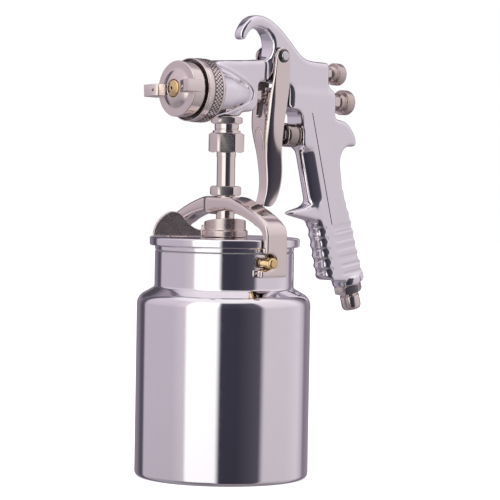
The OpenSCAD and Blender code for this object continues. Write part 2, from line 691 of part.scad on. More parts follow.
// Chromed casting: nose, barrel, hook, waist, rear block, hand stop and grip, bored for its works
module gun_body() color("lightsteelblue") difference() {
    union() {
        gun() {
            turned(concat([[0, barrel_back_x]],
                [for (i = [0 : 14]) let (x = barrel_back_x + (nose_x - barrel_back_x) * i / 14)
                    [nose_r(x), x]],
                [[spigot_r, nose_x], [spigot_r, spigot_x], [0, spigot_x]]));
            plate(half_t) {
                barrel_outline();
                rear_outline();
            }
            intersection() {
                plate(half_t) hook_outline();
                translate([0, 0, window_top]) linear_extrude(60) polygon([[-4, -3.3], [-4, 3.3],
                    [-40, half_t], [-90, half_t], [-90, -half_t], [-40, -half_t]]);
            }
            plate(neck_half_t) translate([rear_x - 4, window_top])
                square([barrel_end_x - rear_x + 8, 22 - window_top]);
            difference() {
                grip();
                scallops();
            }
            spur();
        }
        translate([0, 0, boss_z]) cylinder(h = axis_rise, d = boss_d);
        inlet_frame() translate([0, 0, -inlet_boss_h]) cylinder(h = inlet_boss_h + 3, d = inlet_boss_d);
    }
    translate([0, 0, boss_z - over]) cylinder(h = axis_rise + over, r = chamber_r);
    inlet_frame() {
        translate([0, 0, -inlet_boss_h - over])
            cylinder(h = nipple_in + inlet_boss_h + over, d = nipple_d + 2 * seat);
        translate([0, 0, -over]) cylinder(h = (grip_l - valve_drop) / cos(inlet_lean), r = air_way_r);
    }
    gun() {
        side_grooves();
        rod(spigot_x - tip_shank_l - seat, spigot_x + over, tip_shank_r + seat);
        rod(chamber_end_x, spigot_x, chamber_r);
        rod(pack_x - over, chamber_end_x + over, needle_d / 2 + run);
        rod(barrel_back_x - over, pack_x, pack_r + seat);
        rod(guide_end_x - over, rear_x + over, tail_r + run);
        rod(fluid_face_x - over, guide_end_x, spring_bore_r);
        rod(fluid_face_x - over, fluid_face_x + bushing_l + seat, bushing_thread_r + seat);
        rod(fan_face_x - over, fan_bore_x, fan_bore_r + seat, fan_rise);
        rod(valve_bore_x, valve_face_x + over, valve_bore_r + seat, -valve_drop);
        rod(spring_end_x, valve_bore_x + over, spring_room_r, -valve_drop);
        translate([pivot[0], 0, pivot[1]]) rotate([90, 0, 0])
            cylinder(h = 2 * body_t, d = pivot_d + 2 * seat, center = true);
    }
}

// Fluid tip: shank, hexagon, cone and nozzle, bored for the needle
module fluid_tip() color("goldenrod") gun() difference() {
    cone_x = spigot_x + tip_hex_l - 1;
    union() {
        rod(spigot_x - tip_shank_l, spigot_x + 1, tip_shank_r);
        hex_rod(spigot_x + seat, spigot_x + tip_hex_l, tip_hex_r * 2 * cos(30));
        turned([[0, cone_x], [6, cone_x], [tip_d / 2, crown_x - 6],
            [tip_d / 2, tip_face_x - 0.6], [tip_d / 2 - 0.6, tip_face_x],
            [2.4, tip_end_x - 0.3], [2, tip_end_x], [0, tip_end_x]]);
    }
    turned([[0, spigot_x - tip_shank_l - over], [chamber_r, spigot_x - tip_shank_l - over],
        [chamber_r, spigot_x], [tip_bore_r, spigot_x + 4], [tip_bore_r, tip_end_x - 5],
        [1, tip_end_x - 0.6], [1, tip_end_x + over], [0, tip_end_x + over]]);
}

// Air baffle between the casting and the air cap
baffle_hole_n = 8;
module baffle() color("gray") gun() difference() {
    sleeve(spigot_x + seat, spigot_x + baffle_t, ring_bore_r - run - 0.5, tip_hex_r + run);
    for (i = [0 : baffle_hole_n - 1]) rotate([360 / baffle_hole_n * i, 0, 0])
        rod(spigot_x - over, spigot_x + baffle_t + over, 1.6, ring_bore_r - 5);
}

// Air cap: raised middle, centre hole, two horns with their jets, groove for the snap ring behind
module air_cap() color("rosybrown") gun() rotate([cap_turn, 0, 0]) difference() {
    horn_y = cap_r + horn_out;
    horn_x = cap_face_x + horn_l;
    root_x = cap_face_x - horn_root;
    union() {
        turned(concat([[0, cap_back_x], [cap_r, cap_back_x]],
            arc([cap_r - 0.8, cap_face_x - 0.8], 0.8, 0, 90, 4),
            [[cap_crown_r, cap_face_x], [cap_hole_r + 0.5, crown_x], [0, crown_x]]));
        for (side = [0, 180]) rotate([side, 0, 0]) translate([0, 0, -horn_w / 2]) linear_extrude(horn_w)
            polygon([[root_x, horn_y - horn_t], [horn_x - horn_fall, horn_y - horn_t],
                [horn_x, horn_y - horn_land], [horn_x, horn_y], [root_x, horn_y]]);
    }
    sleeve(snap_x - seat, snap_x + snap_t + seat, cap_r + over, cap_r - snap_depth);
    turned([[0, cap_back_x - over], [cap_r - 2.6, cap_back_x - over], [cap_r - 2.6, cap_back_x + 4],
        [cap_hole_r + 1.5, crown_x - 3.4], [cap_hole_r, crown_x - 1.6],
        [cap_hole_r, crown_x + over], [0, crown_x + over]]);
    for (side = [0, 180]) rotate([side, 0, 0])
        translate([horn_x - horn_fall / 2, horn_y - (horn_land + horn_t) / 2, 0])
            rotate([0, 0, -jet_lean]) rotate([0, -90, 0]) translate([0, 0, -2]) cylinder(h = 6, d = jet_d);
}

// Wire ring in the air cap's groove, behind the retaining ring's lip
module cap_snap_ring() color("dimgray") gun()
    sleeve(snap_x, snap_x + snap_t, ring_bore_r - run, cap_r - snap_depth + seat);

// Retaining ring: knurled rear band, plain front band, lip ahead of the snap ring
module retaining_ring() color("rosybrown") gun() difference() {
    round_r = 0.5;
    band_r = ring_r - 0.3;
    turned(concat([[ring_bore_r, ring_x], [ring_r - 0.5, ring_x], [ring_r, ring_x + 0.5],
        [ring_r, ring_x + knurl_l], [band_r, ring_x + knurl_l + 0.4]],
        arc([band_r - round_r, ring_end_x - round_r], round_r, 0, 90, 4),
        [[ring_mouth_r, ring_end_x], [ring_mouth_r, lip_x + lip_t], [cap_r + run, lip_x + lip_t],
            [cap_r + run, lip_x], [ring_bore_r, lip_x]]));
    for (i = [0 : knurl_n - 1]) rotate([360 / knurl_n * i, 0, 0])
        rod(ring_x + 1.4, ring_x + knurl_l - 0.6, 0.55, ring_r + 0.1);
}

// Needle: tapered point, slim shaft, trigger collar, tail and spring shoulder
module fluid_needle() color("silver") gun() turned([[0, tail_end_x], [tail_r, tail_end_x],
    [tail_r, shoulder_x - shoulder_l], [spring_bore_r - run, shoulder_x - shoulder_l],
    [spring_bore_r - run, shoulder_x], [tail_r, shoulder_x],
    [tail_r, collar_x - needle_collar_l], [needle_collar_r, collar_x - needle_collar_l],
    [needle_collar_r, collar_x], [needle_d / 2, collar_x],
    [needle_d / 2, tip_end_x - 5.3], [0.7, tip_end_x - 0.9], [0, tip_end_x - 0.9]]);

// Packing ring round the needle
module needle_packing() color("ivory") gun()
    sleeve(pack_x - 4.4, pack_x - seat, pack_r, needle_d / 2 + 0.05);

// Nut that holds the packing
module packing_nut() color("rosybrown") gun() difference() {
    union() {
        rod(barrel_back_x - 1, pack_x - 4.4 - seat, pack_r);
        hex_rod(barrel_back_x - pack_nut_l, barrel_back_x - seat, pack_nut_af);
    }
    rod(barrel_back_x - pack_nut_l - over, pack_x, needle_d / 2 + run);
}

// Needle return spring
needle_spring_wire = 0.9;
module needle_spring() color("silver") gun() {
    spring_l = (shoulder_x - shoulder_l) - (fluid_face_x + bushing_l) - 2 * run - needle_spring_wire;
    translate([fluid_face_x + bushing_l + run + needle_spring_wire / 2, 0, 0]) rotate([0, 90, 0])
        coil_spring(spring_bore_r - run - 0.7, spring_l, 8, needle_spring_wire);
}

// Threaded bushing behind the needle spring
module fluid_bushing() color("rosybrown") gun() difference() {
    union() {
        rod(fluid_face_x - 1, fluid_face_x + bushing_l, bushing_thread_r);
        hex_rod(fluid_face_x - bushing_hex_l, fluid_face_x - seat, bushing_af);
    }
    rod(fluid_face_x - bushing_hex_l - over, fluid_face_x + bushing_l + over, screw_r + run);
}

// A turned control knob behind x: short neck, hollow flare, band and rounded end
knob_round = 2.4;
knob_edge = 0.5;
module knob(x, r, z) {
    end_x = x - knob_l + knob_round;
    flare = [[0.56 * r, x - 0.1 * knob_l], [0.6 * r, x - 0.2 * knob_l], [0.7 * r, x - 0.28 * knob_l],
        [0.84 * r, x - 0.34 * knob_l], [r - knob_edge, x - 0.38 * knob_l]];
    turned(concat([[0, x], [0.55 * r, x]], flare, [[r, x - 0.38 * knob_l - knob_edge], [r, end_x]],
        [for (a = [15 : 15 : 90]) [r - knob_round + knob_round * cos(a), end_x - knob_round * sin(a)]],
        [[0, x - knob_l]]), z);
}

// Fluid knob with the screw that stops the needle
needle_room = 5;              // free space behind the needle's tail
module fluid_knob() color("gray") gun() {
    knob_x = fluid_face_x - bushing_hex_l - run;
    knob(knob_x, fluid_knob_d / 2, 0);
    rod(knob_x - 1, tail_end_x - needle_room, screw_r);
}

// Fan valve gland in the rear block
module fan_valve_body() color("rosybrown") gun() difference() {
    union() {
        rod(fan_face_x - 1, fan_face_x + fan_thread_l, fan_bore_r, fan_rise);
        hex_rod(fan_face_x - fan_hex_l, fan_face_x - seat, fan_af, fan_rise);
    }
    rod(fan_face_x - fan_hex_l - over, fan_face_x + fan_thread_l + over, fan_stem_r + run, fan_rise);
}

// Seal ring ahead of the fan valve's gland
module fan_valve_seal() color("black") gun() sleeve(fan_face_x + fan_thread_l + seat,
    fan_face_x + fan_thread_l + fan_seal_l, fan_bore_r, fan_stem_r + 0.1, fan_rise);

// Fan valve stem with its conical end
fan_knob_x = fan_face_x - fan_hex_l - run;
module fan_valve_stem() color("silver") gun() turned([[0, fan_knob_x - 5], [fan_stem_r, fan_knob_x - 5],
    [fan_stem_r, fan_bore_x - 5], [0.8, fan_bore_x - 1], [0, fan_bore_x - 1]], fan_rise);

// Fan knob on its stem
module fan_knob() color("gray") gun() difference() {
    knob(fan_knob_x, fan_knob_d / 2, fan_rise);
    rod(fan_knob_x - 5 - seat, fan_knob_x + over, fan_stem_r + seat, fan_rise);
}

// Trigger outlines: side view in x and z, then half width by height
trigger_front = [[pivot[0] + ear_r, pivot[1]], [-30.6, 12], [web_x, 0], [-29.1, -14], [-30.4, -24],
    [-33.4, -34], [-35.4, -44], [-36.6, -54], [-35.2, -61.5], [-32.6, -66]];
trigger_rear = [[-36.6, -67.6], [-40.6, -64], [-43.6, -57], [-44.3, -48], [-43.3, -40], [-41, -30],
    [-40.5, -20], [-41.4, -8], [-42.8, 5], [-42.9, 14], [pivot[0] - ear_r, pivot[1]]];
cheek_in = half_t + cheek_gap;
cheek_mid = valve_nut_d / 2 + 0.5;
cheek_low = 3.9;
function cheeks(e) = [[cheek_in + e, 40], [cheek_in + e, -9], [cheek_mid + e, -18], [cheek_mid + e, -33],
    [cheek_low + 0.8 + e, -41], [cheek_low + e, -50], [cheek_low - 0.3 + e, -80]];
module trigger_section(e) rotate([90, 0, 90]) linear_extrude(60, center = true)
    polygon(concat(cheeks(e), [for (i = [6 : -1 : 0]) [-cheeks(e)[i][0], cheeks(e)[i][1]]]));

// Long shallow dimple on the trigger's front
dimple = [-30.85, -24];
module finger_dimple() translate([dimple[0], 0, dimple[1]]) rotate([0, 11.8, 0]) {
    dimple_r = 3;
    dimple_depth = 0.45;
    dimple_half_l = 5;
    for (end = [-1, 1]) translate([-dimple_depth, 0, end * dimple_half_l]) rotate([0, 90, 0])
        cylinder(h = 4, r = dimple_r);
    translate([-dimple_depth, -dimple_r, -dimple_half_l]) cube([4, 2 * dimple_r, 2 * dimple_half_l]);
}

// Trigger: bent sheet with two cheeks, ears on the pivot and a forked web for the needle
web_top = 5;
module trigger() color("rosybrown") gun() difference() {
    intersection() {
        plate(body_t)
            polygon(concat(spline(trigger_front), spline(trigger_rear), arc(pivot, ear_r, 170, 10, 16)));
        translate([-36, 0, 0]) trigger_section(trigger_t);
    }
    intersection() {
        plate(body_t) {
            polygon(concat([for (p = spline(trigger_front)) [p[0] - trigger_t, p[1]]],
                [[-34.6, -70], [-60, -70], [-60, 40], [-31, 40]]));
            translate([-60, web_top]) square([40, 40]);
        }
        translate([-36, 0, 0]) trigger_section(0);
    }
    slot_w = needle_d + 2.4;
    translate([-33, -slot_w / 2, -11]) cube([8, slot_w, 20]);
    translate([-33, 0, -11]) rotate([0, 90, 0]) cylinder(h = 8, d = slot_w);
    translate([pivot[0], 0, pivot[1]]) rotate([90, 0, 0])
        cylinder(h = 4 * body_t, d = pivot_d + 2 * run, center = true);
    finger_dimple();
}

// Headed pivot pin through the ears and the hook's root
pin_head_t = 0.9;
pin_button_h = 0.9;
clip_t = 0.8;
ear_out = cheek_in + trigger_t;
module trigger_pin() color("silver") gun() translate([pivot[0], 0, pivot[1]]) rotate([-90, 0, 0]) {
    translate([0, 0, -ear_out - run - clip_t - 1])
        cylinder(h = 2 * (ear_out + run) + clip_t + 1 + pin_head_t + pin_button_h, d = pivot_d);
    translate([0, 0, ear_out + run]) cylinder(h = pin_head_t, d = pivot_d + 3);
}

// Spring clip on the pin's other end
module trigger_clip() color("dimgray") gun() translate([pivot[0], 0, pivot[1]]) rotate([-90, 0, 0])
    translate([0, 0, -ear_out - run - clip_t]) difference() {
        cylinder(h = clip_t, d = pivot_d + 3.6);
        translate([0, 0, -over]) cylinder(h = clip_t + 2 * over, d = pivot_d + 2 * seat);
        translate([-1.2, 0, -over]) cube([2.4, pivot_d, clip_t + 2 * over]);
    }

// Air valve nut, screwed into the grip's head, with a groove round it near the casting
module air_valve_body() color("rosybrown") gun() difference() {
    nut_r = valve_nut_d / 2;
    groove_x = valve_face_x + 0.9;
    groove_r = nut_r - 0.8;
    union() {
        turned(concat([[0, valve_face_x + seat], [nut_r, valve_face_x + seat], [nut_r, groove_x],
            [groove_r, groove_x + 0.3], [groove_r, groove_x + 1.2], [nut_r, groove_x + 1.5],
            [nut_r, valve_face_x + valve_nut_l - 2]],
            arc([nut_r - 2, valve_face_x + valve_nut_l - 2], 2, 0, 90, 5),
            [[0, valve_face_x + valve_nut_l]]), -valve_drop);
        rod(valve_face_x - valve_thread_l, valve_face_x + 1, valve_bore_r, -valve_drop);
    }
    rod(valve_face_x - valve_thread_l - over, valve_face_x + valve_nut_l, valve_stem_r + run, -valve_drop);
    rod(valve_face_x + valve_nut_l - valve_pocket_l, valve_face_x + valve_nut_l + over,
        valve_pocket_r + seat, -valve_drop);
}

// Packing in the air valve's pocket
pocket_x = valve_face_x + valve_nut_l - valve_pocket_l;
module air_valve_packing() color("ivory") gun()
    sleeve(pocket_x + seat, pocket_x + 2.6, valve_pocket_r, valve_stem_r + 0.05, -valve_drop);

// Gland that holds the packing
module air_valve_gland() color("rosybrown") gun() difference() {
    union() {
        rod(pocket_x + 2.6 + seat, pocket_x + valve_pocket_l + 0.5, valve_pocket_r, -valve_drop);
        hex_rod(pocket_x + valve_pocket_l + seat, pocket_x + 2.6 + gland_l, gland_af, -valve_drop);
    }
    rod(pocket_x, pocket_x + 20, valve_stem_r + run, -valve_drop);
}

// Soft seat of the air valve
seat_x = valve_face_x - valve_thread_l;
module air_valve_seat() color("ivory") gun()
    sleeve(seat_x - valve_seat_l, seat_x - seat, valve_bore_r, valve_seat_r, -valve_drop);

// Air valve stem with the head that the trigger pushes and the poppet behind the seat
module air_valve_stem() color("silver") gun() {
    poppet_x = seat_x - valve_seat_l - run;
    turned(concat([[0, poppet_x - poppet_l], [poppet_r, poppet_x - poppet_l], [poppet_r, poppet_x - 0.6],
        [valve_stem_r, poppet_x], [valve_stem_r, valve_tip_x - 3], [valve_head_r, valve_tip_x - 2.4]],
        [for (a = [0 : 15 : 75]) [valve_head_r * cos(a), valve_tip_x - 1.2 + 1.2 * sin(a)]],
        [[0, valve_tip_x]]), -valve_drop);
}

// Air valve return spring
valve_spring_wire = 0.8;
module air_valve_spring() color("silver") gun() {
    poppet_back_x = seat_x - valve_seat_l - run - poppet_l;
    spring_l = poppet_back_x - spring_end_x - 2 * run - valve_spring_wire;
    translate([spring_end_x + run + valve_spring_wire / 2, 0, -valve_drop]) rotate([0, 90, 0])
        coil_spring(spring_room_r - run - 0.7, spring_l, 6, valve_spring_wire);
}

// Air nipple: thread in the grip, hexagon and threaded tail with an eased end
module air_inlet_nipple() color("rosybrown") inlet_frame() difference() {
    union() {
        translate([0, 0, -inlet_boss_h - 1]) cylinder(h = nipple_in + inlet_boss_h, d = nipple_d);
        translate([0, 0, -inlet_boss_h - nipple_hex_h]) rotate(12)
            cylinder(h = nipple_hex_h - seat, d = nipple_af / cos(30), $fn = 6);
        translate([0, 0, -inlet_boss_h - nipple_hex_h - nipple_l]) rotate_extrude() polygon(
            [[0, 0], [nipple_d / 2 - 1.6, 0], [nipple_d / 2, 2],
                [nipple_d / 2, nipple_l + 1], [0, nipple_l + 1]]);
    }
    translate([0, 0, -60]) cylinder(h = 100, r = air_way_r);
}

cup();
cup_studs();
cup_lid();
lid_gasket();
yoke();
cam_lever();
siphon_tube();
stem_collar();
tube_lock_nut();
coupling_nut();
fluid_inlet_fitting();
inlet_locknut();
gun_body();
fluid_tip();
baffle();
air_cap();
cap_snap_ring();
retaining_ring();
fluid_needle();
needle_packing();
packing_nut();
needle_spring();
fluid_bushing();
fluid_knob();
fan_valve_body();
fan_valve_seal();
fan_valve_stem();
fan_knob();
trigger();
trigger_pin();
trigger_clip();
air_valve_body();
air_valve_packing();
air_valve_gland();
air_valve_seat();
air_valve_stem();
air_valve_spring();
air_inlet_nipple();
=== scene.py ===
import json
import math

import bpy
from mathutils import Matrix, Vector


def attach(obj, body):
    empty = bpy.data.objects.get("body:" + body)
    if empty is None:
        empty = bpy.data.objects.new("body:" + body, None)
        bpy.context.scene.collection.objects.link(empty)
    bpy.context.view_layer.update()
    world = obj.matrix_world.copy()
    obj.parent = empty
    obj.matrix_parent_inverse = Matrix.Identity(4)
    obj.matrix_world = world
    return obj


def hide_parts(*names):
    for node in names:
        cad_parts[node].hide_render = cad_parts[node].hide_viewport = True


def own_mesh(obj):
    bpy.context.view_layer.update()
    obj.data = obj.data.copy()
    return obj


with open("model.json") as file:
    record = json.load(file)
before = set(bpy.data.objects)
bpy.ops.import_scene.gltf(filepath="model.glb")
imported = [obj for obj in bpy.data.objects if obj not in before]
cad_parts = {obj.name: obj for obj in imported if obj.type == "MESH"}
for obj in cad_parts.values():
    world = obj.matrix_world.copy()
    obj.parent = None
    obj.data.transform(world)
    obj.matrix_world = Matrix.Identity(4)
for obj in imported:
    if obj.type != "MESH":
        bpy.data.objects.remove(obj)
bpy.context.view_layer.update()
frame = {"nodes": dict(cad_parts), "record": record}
nodes = frame["nodes"]
body_of = {n: b for b, members in frame["record"]["behaviour"]["bodies"].items() for n in members}

# Lengths are in millimetres and angles in degrees, if nothing else is said
MM = 0.001


def moved(x, y, z):
    """A move in millimetres."""
    return Matrix.Translation((x * MM, y * MM, z * MM))


def rotated(angle, axis):
    """A turn in degrees about x, y or z."""
    return Matrix.Rotation(math.radians(angle), 4, axis)


# The gun's own frame: x runs forwards along the nozzle's axis, which points a little upwards
NOZZLE_Z = 233.936
NOZZLE_TILT = 2
GUN = moved(0, 0, NOZZLE_Z) @ rotated(-NOZZLE_TILT, "Y")
LYING = rotated(90, "Y")
ALONG_X = GUN @ LYING
SIDEWAYS = rotated(90, "X")
# Lays a plate's outline across the gun, with its thickness along x
CROSSWISE = Matrix(((0, 0, 1, 0), (1, 0, 0, 0), (0, 1, 0, 0), (0, 0, 0, 1)))


def along_x(z):
    """The gun's long direction as a lathe axis, z above the nozzle's axis."""
    return GUN @ moved(0, 0, z) @ LYING


# Helpers
def only(ob):
    """Selects one object and makes it active."""
    bpy.ops.object.select_all(action="DESELECT")
    ob.select_set(True)
    bpy.context.view_layer.objects.active = ob


def edit(ob):
    """Opens a piece in edit mode with everything selected."""
    only(ob)
    bpy.ops.object.mode_set(mode="EDIT")
    bpy.ops.mesh.select_all(action="SELECT")


def leave():
    """Goes back to object mode."""
    bpy.ops.object.mode_set(mode="OBJECT")


def pick(ob, wanted):
    """Selects the points that wanted says, and opens the piece in edit mode."""
    edit(ob)
    bpy.ops.mesh.select_mode(type="VERT")
    bpy.ops.mesh.select_all(action="DESELECT")
    leave()
    for v in ob.data.vertices:
        v.select = wanted(v.co)
    only(ob)
    bpy.ops.object.mode_set(mode="EDIT")


def just_added(name):
    """The object that was added last, with its name."""
    ob = bpy.context.object
    ob.name = name
    return ob


def close_up(gap):
    """Merges points within the gap, in metres, turns all faces outwards and goes back to object mode."""
    bpy.ops.mesh.select_all(action="SELECT")
    bpy.ops.mesh.remove_doubles(threshold=gap)
    bpy.ops.mesh.normals_make_consistent(inside=False)
    leave()


def apply(ob, kind, **settings):
    """Adds a modifier and applies it."""
    only(ob)
    m = ob.modifiers.new(kind.lower(), kind)
    for key, value in settings.items():
        setattr(m, key, value)
    bpy.ops.object.modifier_apply(modifier=m.name)


def smooth(ob, angle=35):
    """Shades smooth across edges that are flatter than the angle."""
    only(ob)
    bpy.ops.object.shade_smooth_by_angle(angle=math.radians(angle))


def ease(ob, width, angle=25, segments=3):
    """Rounds the sharp edges."""
    apply(ob, "BEVEL", width=width * MM, segments=segments, limit_method="ANGLE",
          angle_limit=math.radians(angle), use_clamp_overlap=True, miter_outer="MITER_ARC")


def cut(ob, tool, operation="DIFFERENCE", solver="EXACT"):
    """Cuts a piece with a tool, or joins the tool to it, and takes the tool away."""
    apply(ob, "BOOLEAN", object=tool, operation=operation, solver=solver)
    bpy.data.objects.remove(tool)


def join(obs):
    """Makes several finished shapes one piece."""
    bpy.ops.object.select_all(action="DESELECT")
    for ob in obs:
        ob.select_set(True)
    bpy.context.view_layer.objects.active = obs[0]
    bpy.ops.object.join()
    return obs[0]


def between(value):
    """The value, kept from 0 to 1."""
    return min(max(value, 0), 1)


def arc(r, h, radius, a0, a1, n=8):
    """Profile points on an arc about (r, h)."""
    angles = [math.radians(a0 + (a1 - a0) * i / n) for i in range(n + 1)]
    return [(r + radius * math.cos(a), h + radius * math.sin(a)) for a in angles]


def drawn_line(name, points):
    """A line in edit mode: one point, extruded from each of the points to the next."""
    bpy.ops.object.select_all(action="DESELECT")
    bpy.ops.mesh.primitive_plane_add(size=0.002)
    ob = just_added(name)
    bpy.ops.object.mode_set(mode="EDIT")
    bpy.ops.mesh.select_all(action="SELECT")
    bpy.ops.mesh.merge(type="CENTER")
    bpy.ops.transform.translate(value=tuple(c * MM for c in points[0]))
    for start, end in zip(points, points[1:]):
        step = tuple((b - a) * MM for a, b in zip(start, end))
        bpy.ops.mesh.extrude_region_move(TRANSFORM_OT_translate={"value": step})
    bpy.ops.mesh.select_all(action="SELECT")
    return ob


def lathe(name, profile, place=Matrix(), steps=160):
    """A turned piece: its profile [(radius, height)] is drawn and spun about z."""
    ob = drawn_line(name, [(r, 0, h) for r, h in profile])
    bpy.ops.mesh.spin(steps=steps, angle=2 * math.pi, center=(0, 0, 0), axis=(0, 0, 1))
    close_up(3e-6)
    ob.data.transform(place)
    smooth(ob)
    return ob


def plate(name, outline, low, high, place=Matrix()):
    """A flat piece: its outline is drawn, filled, and extruded from low to high."""
    ob = drawn_line(name, [(x, y, low) for x, y in outline])
    bpy.ops.mesh.edge_face_add()
    bpy.ops.mesh.extrude_region_move(TRANSFORM_OT_translate={"value": (0, 0, (high - low) * MM)})
    bpy.ops.mesh.select_all(action="SELECT")
    bpy.ops.mesh.normals_make_consistent(inside=False)
    leave()
    ob.data.transform(place)
    return ob


def prism(name, sides, af, h, z=0.0, turn=0.0):
    """A prism with flats af apart, standing on z."""
    bpy.ops.object.select_all(action="DESELECT")
    bpy.ops.mesh.primitive_cylinder_add(vertices=sides, radius=af / 2 / math.cos(math.pi / sides) * MM,
                                        depth=h * MM, location=(0, 0, (z + h / 2) * MM),
                                        rotation=(0, 0, math.radians(turn + 30)))
    ob = just_added(name)
    bpy.ops.object.transform_apply(location=True, rotation=True, scale=True)
    return ob


def block(name, low, high):
    """A box from corner to corner."""
    bpy.ops.object.select_all(action="DESELECT")
    bpy.ops.mesh.primitive_cube_add(size=1)
    ob = just_added(name)
    low, high = Vector(low) * MM, Vector(high) * MM
    bpy.ops.object.mode_set(mode="EDIT")
    bpy.ops.mesh.select_all(action="SELECT")
    bpy.ops.transform.resize(value=high - low)
    bpy.ops.transform.translate(value=(low + high) / 2)
    leave()
    return ob


def cord(name, points, r, place=Matrix()):
    """A round bar that follows points, as a tool for a soft hollow line."""
    bpy.ops.object.select_all(action="DESELECT")
    bpy.ops.curve.primitive_nurbs_path_add()
    ob = just_added(name)
    line = ob.data.splines[0]
    line.points.add(len(points) - len(line.points))
    for point, co in zip(line.points, points):
        point.co = (*(Vector(co) * MM), 1)
    line.order_u = 3
    line.use_endpoint_u = True
    ob.data.bevel_depth = r * MM
    ob.data.bevel_resolution = 10
    ob.data.use_fill_caps = True
    bpy.ops.object.convert(target="MESH")
    ob = bpy.context.object
    edit(ob)
    close_up(1e-6)
    ob.data.transform(place)
    return ob


def bore_tool(r, low, high, place=Matrix(), steps=96):
    """A plain rod that cuts a hole."""
    return lathe("bore", [(0, low), (r, low), (r, high), (0, high)], place, steps)


def nut(name, z, h, af, bore, turn=18, collar=0.0, place=Matrix()):
    """A hexagonal nut with chamfered corners and a bore. A collar adds round faces at both ends."""
    corner = af / math.sqrt(3)
    face_r = af / 2 - 0.15
    fall = (corner - af / 2) * math.tan(math.radians(30)) + 0.15
    ob = prism(name, 6, af, h - 2 * collar, z + collar, turn)
    low, high = z + collar, z + h - collar
    shaper = lathe("shaper", [(0, low), (face_r, low), (corner + 0.1, low + fall),
                              (corner + 0.1, high - fall), (face_r, high), (0, high)], steps=96)
    cut(ob, shaper, "INTERSECT")
    if collar:
        cut(ob, bore_tool(af / 2 - 0.9, z, z + h), "UNION")
    cut(ob, bore_tool(bore, z - 1, z + h + 1))
    ease(ob, 0.3, 24, 2)
    ob.data.transform(place)
    smooth(ob, 30)
    return ob


def coil(name, r, wire, turns, start, length, place):
    """A wound spring: a disc of wire section screwed along the axis."""
    bpy.ops.object.select_all(action="DESELECT")
    bpy.ops.mesh.primitive_circle_add(vertices=10, radius=wire / 2 * MM, location=(r * MM, 0, start * MM),
                                      rotation=(math.radians(90), 0, 0), fill_type="NGON")
    ob = just_added(name)
    bpy.ops.object.transform_apply(location=True, rotation=True)
    apply(ob, "SCREW", angle=2 * math.pi, screw_offset=length / turns * MM, iterations=turns, steps=24,
          render_steps=24, axis="Z", use_normal_calculate=True)
    edit(ob)
    close_up(1e-6)
    ob.data.transform(place)
    smooth(ob)
    return ob


def cad_copy(node):
    """A free copy of a CAD node, its doubled points merged."""
    ob = nodes[node].copy()
    ob.data = nodes[node].data.copy()
    ob.name = node + "_shape"
    ob.parent = None
    bpy.context.collection.objects.link(ob)
    edit(ob)
    close_up(2e-6)
    return ob


def cast(ob, voxel, passes, softness=None, bow=None):
    """A shape as a casting or a pressing: soft edges and hollow corners, softer where softness says so."""
    apply(ob, "REMESH", mode="VOXEL", voxel_size=voxel * MM, adaptivity=0.0)
    if bow:
        for v in ob.data.vertices:
            v.co += bow(v.co)
    group = ob.vertex_groups.new(name="soft")
    for v in ob.data.vertices:
        group.add([v.index], softness(v.co) if softness else 1.0, "REPLACE")
    apply(ob, "SMOOTH", factor=1.0, iterations=passes, vertex_group="soft")
    only(ob)
    bpy.ops.object.shade_smooth()
    return ob


# Finishes
def add_node(tree, kind, inputs=None, **settings):
    """A shader node with its settings, and with a value or a link on each input that is named."""
    n = tree.nodes.new("ShaderNode" + kind)
    for key, value in settings.items():
        setattr(n, key, value)
    for key, value in (inputs or {}).items():
        if isinstance(value, bpy.types.NodeSocket):
            tree.links.new(value, n.inputs[key])
        else:
            n.inputs[key].default_value = value
    return n


def metal(name, light, dark, rough, wave=0.0, grain=(0, 0, 0), grain_depth=0.0):
    """Polished metal: faint mottling of the tint, rubbed edges, uneven polish, slow waves and fine lines."""
    mat = bpy.data.materials.new(name)
    mat.use_nodes = True
    tree = mat.node_tree
    link = tree.links.new
    shader = tree.nodes["Principled BSDF"]
    shader.inputs["Metallic"].default_value = 1.0
    coord = add_node(tree, "TexCoord").outputs["Object"]

    def noise(scale, detail, vector=coord):
        inputs = {"Scale": scale, "Detail": detail, "Vector": vector}
        return add_node(tree, "TexNoise", inputs).outputs["Fac"]

    tint = add_node(tree, "Mix", {"A": (*dark, 1), "B": (*light, 1), "Factor": noise(70, 3)},
                    data_type="RGBA")
    edges = add_node(tree, "NewGeometry").outputs["Pointiness"]
    rub = add_node(tree, "MapRange", {"From Min": 0.52, "From Max": 0.60, "To Max": 0.35, "Value": edges})
    bright = (*(0.5 + 0.5 * c for c in light), 1)
    worn = add_node(tree, "Mix", {"A": tint.outputs["Result"], "B": bright, "Factor": rub.outputs["Result"]},
                    data_type="RGBA")
    link(worn.outputs["Result"], shader.inputs["Base Color"])
    polish = add_node(tree, "MapRange", {"From Min": 0.3, "From Max": 0.7, "To Min": rough[0],
                                         "To Max": rough[1], "Value": noise(240, 5)})
    link(polish.outputs["Result"], shader.inputs["Roughness"])
    normal = None
    if wave:
        normal = add_node(tree, "Bump", {"Distance": wave, "Height": noise(85, 1)}).outputs["Normal"]
    if grain_depth:
        stretch = add_node(tree, "Mapping", {"Scale": grain, "Vector": coord})
        lines = noise(1, 3, stretch.outputs["Vector"])
        fine = add_node(tree, "Bump", {"Distance": grain_depth, "Height": lines})
        if normal:
            link(normal, fine.inputs["Normal"])
        normal = fine.outputs["Normal"]
    if normal:
        link(normal, shader.inputs["Normal"])
    return mat


def seal(name, light, dark, rough):
    """Seal material: a slightly mottled plastic or rubber."""
    mat = metal(name, light, dark, rough)
    mat.node_tree.nodes["Principled BSDF"].inputs["Metallic"].default_value = 0.0
    return mat


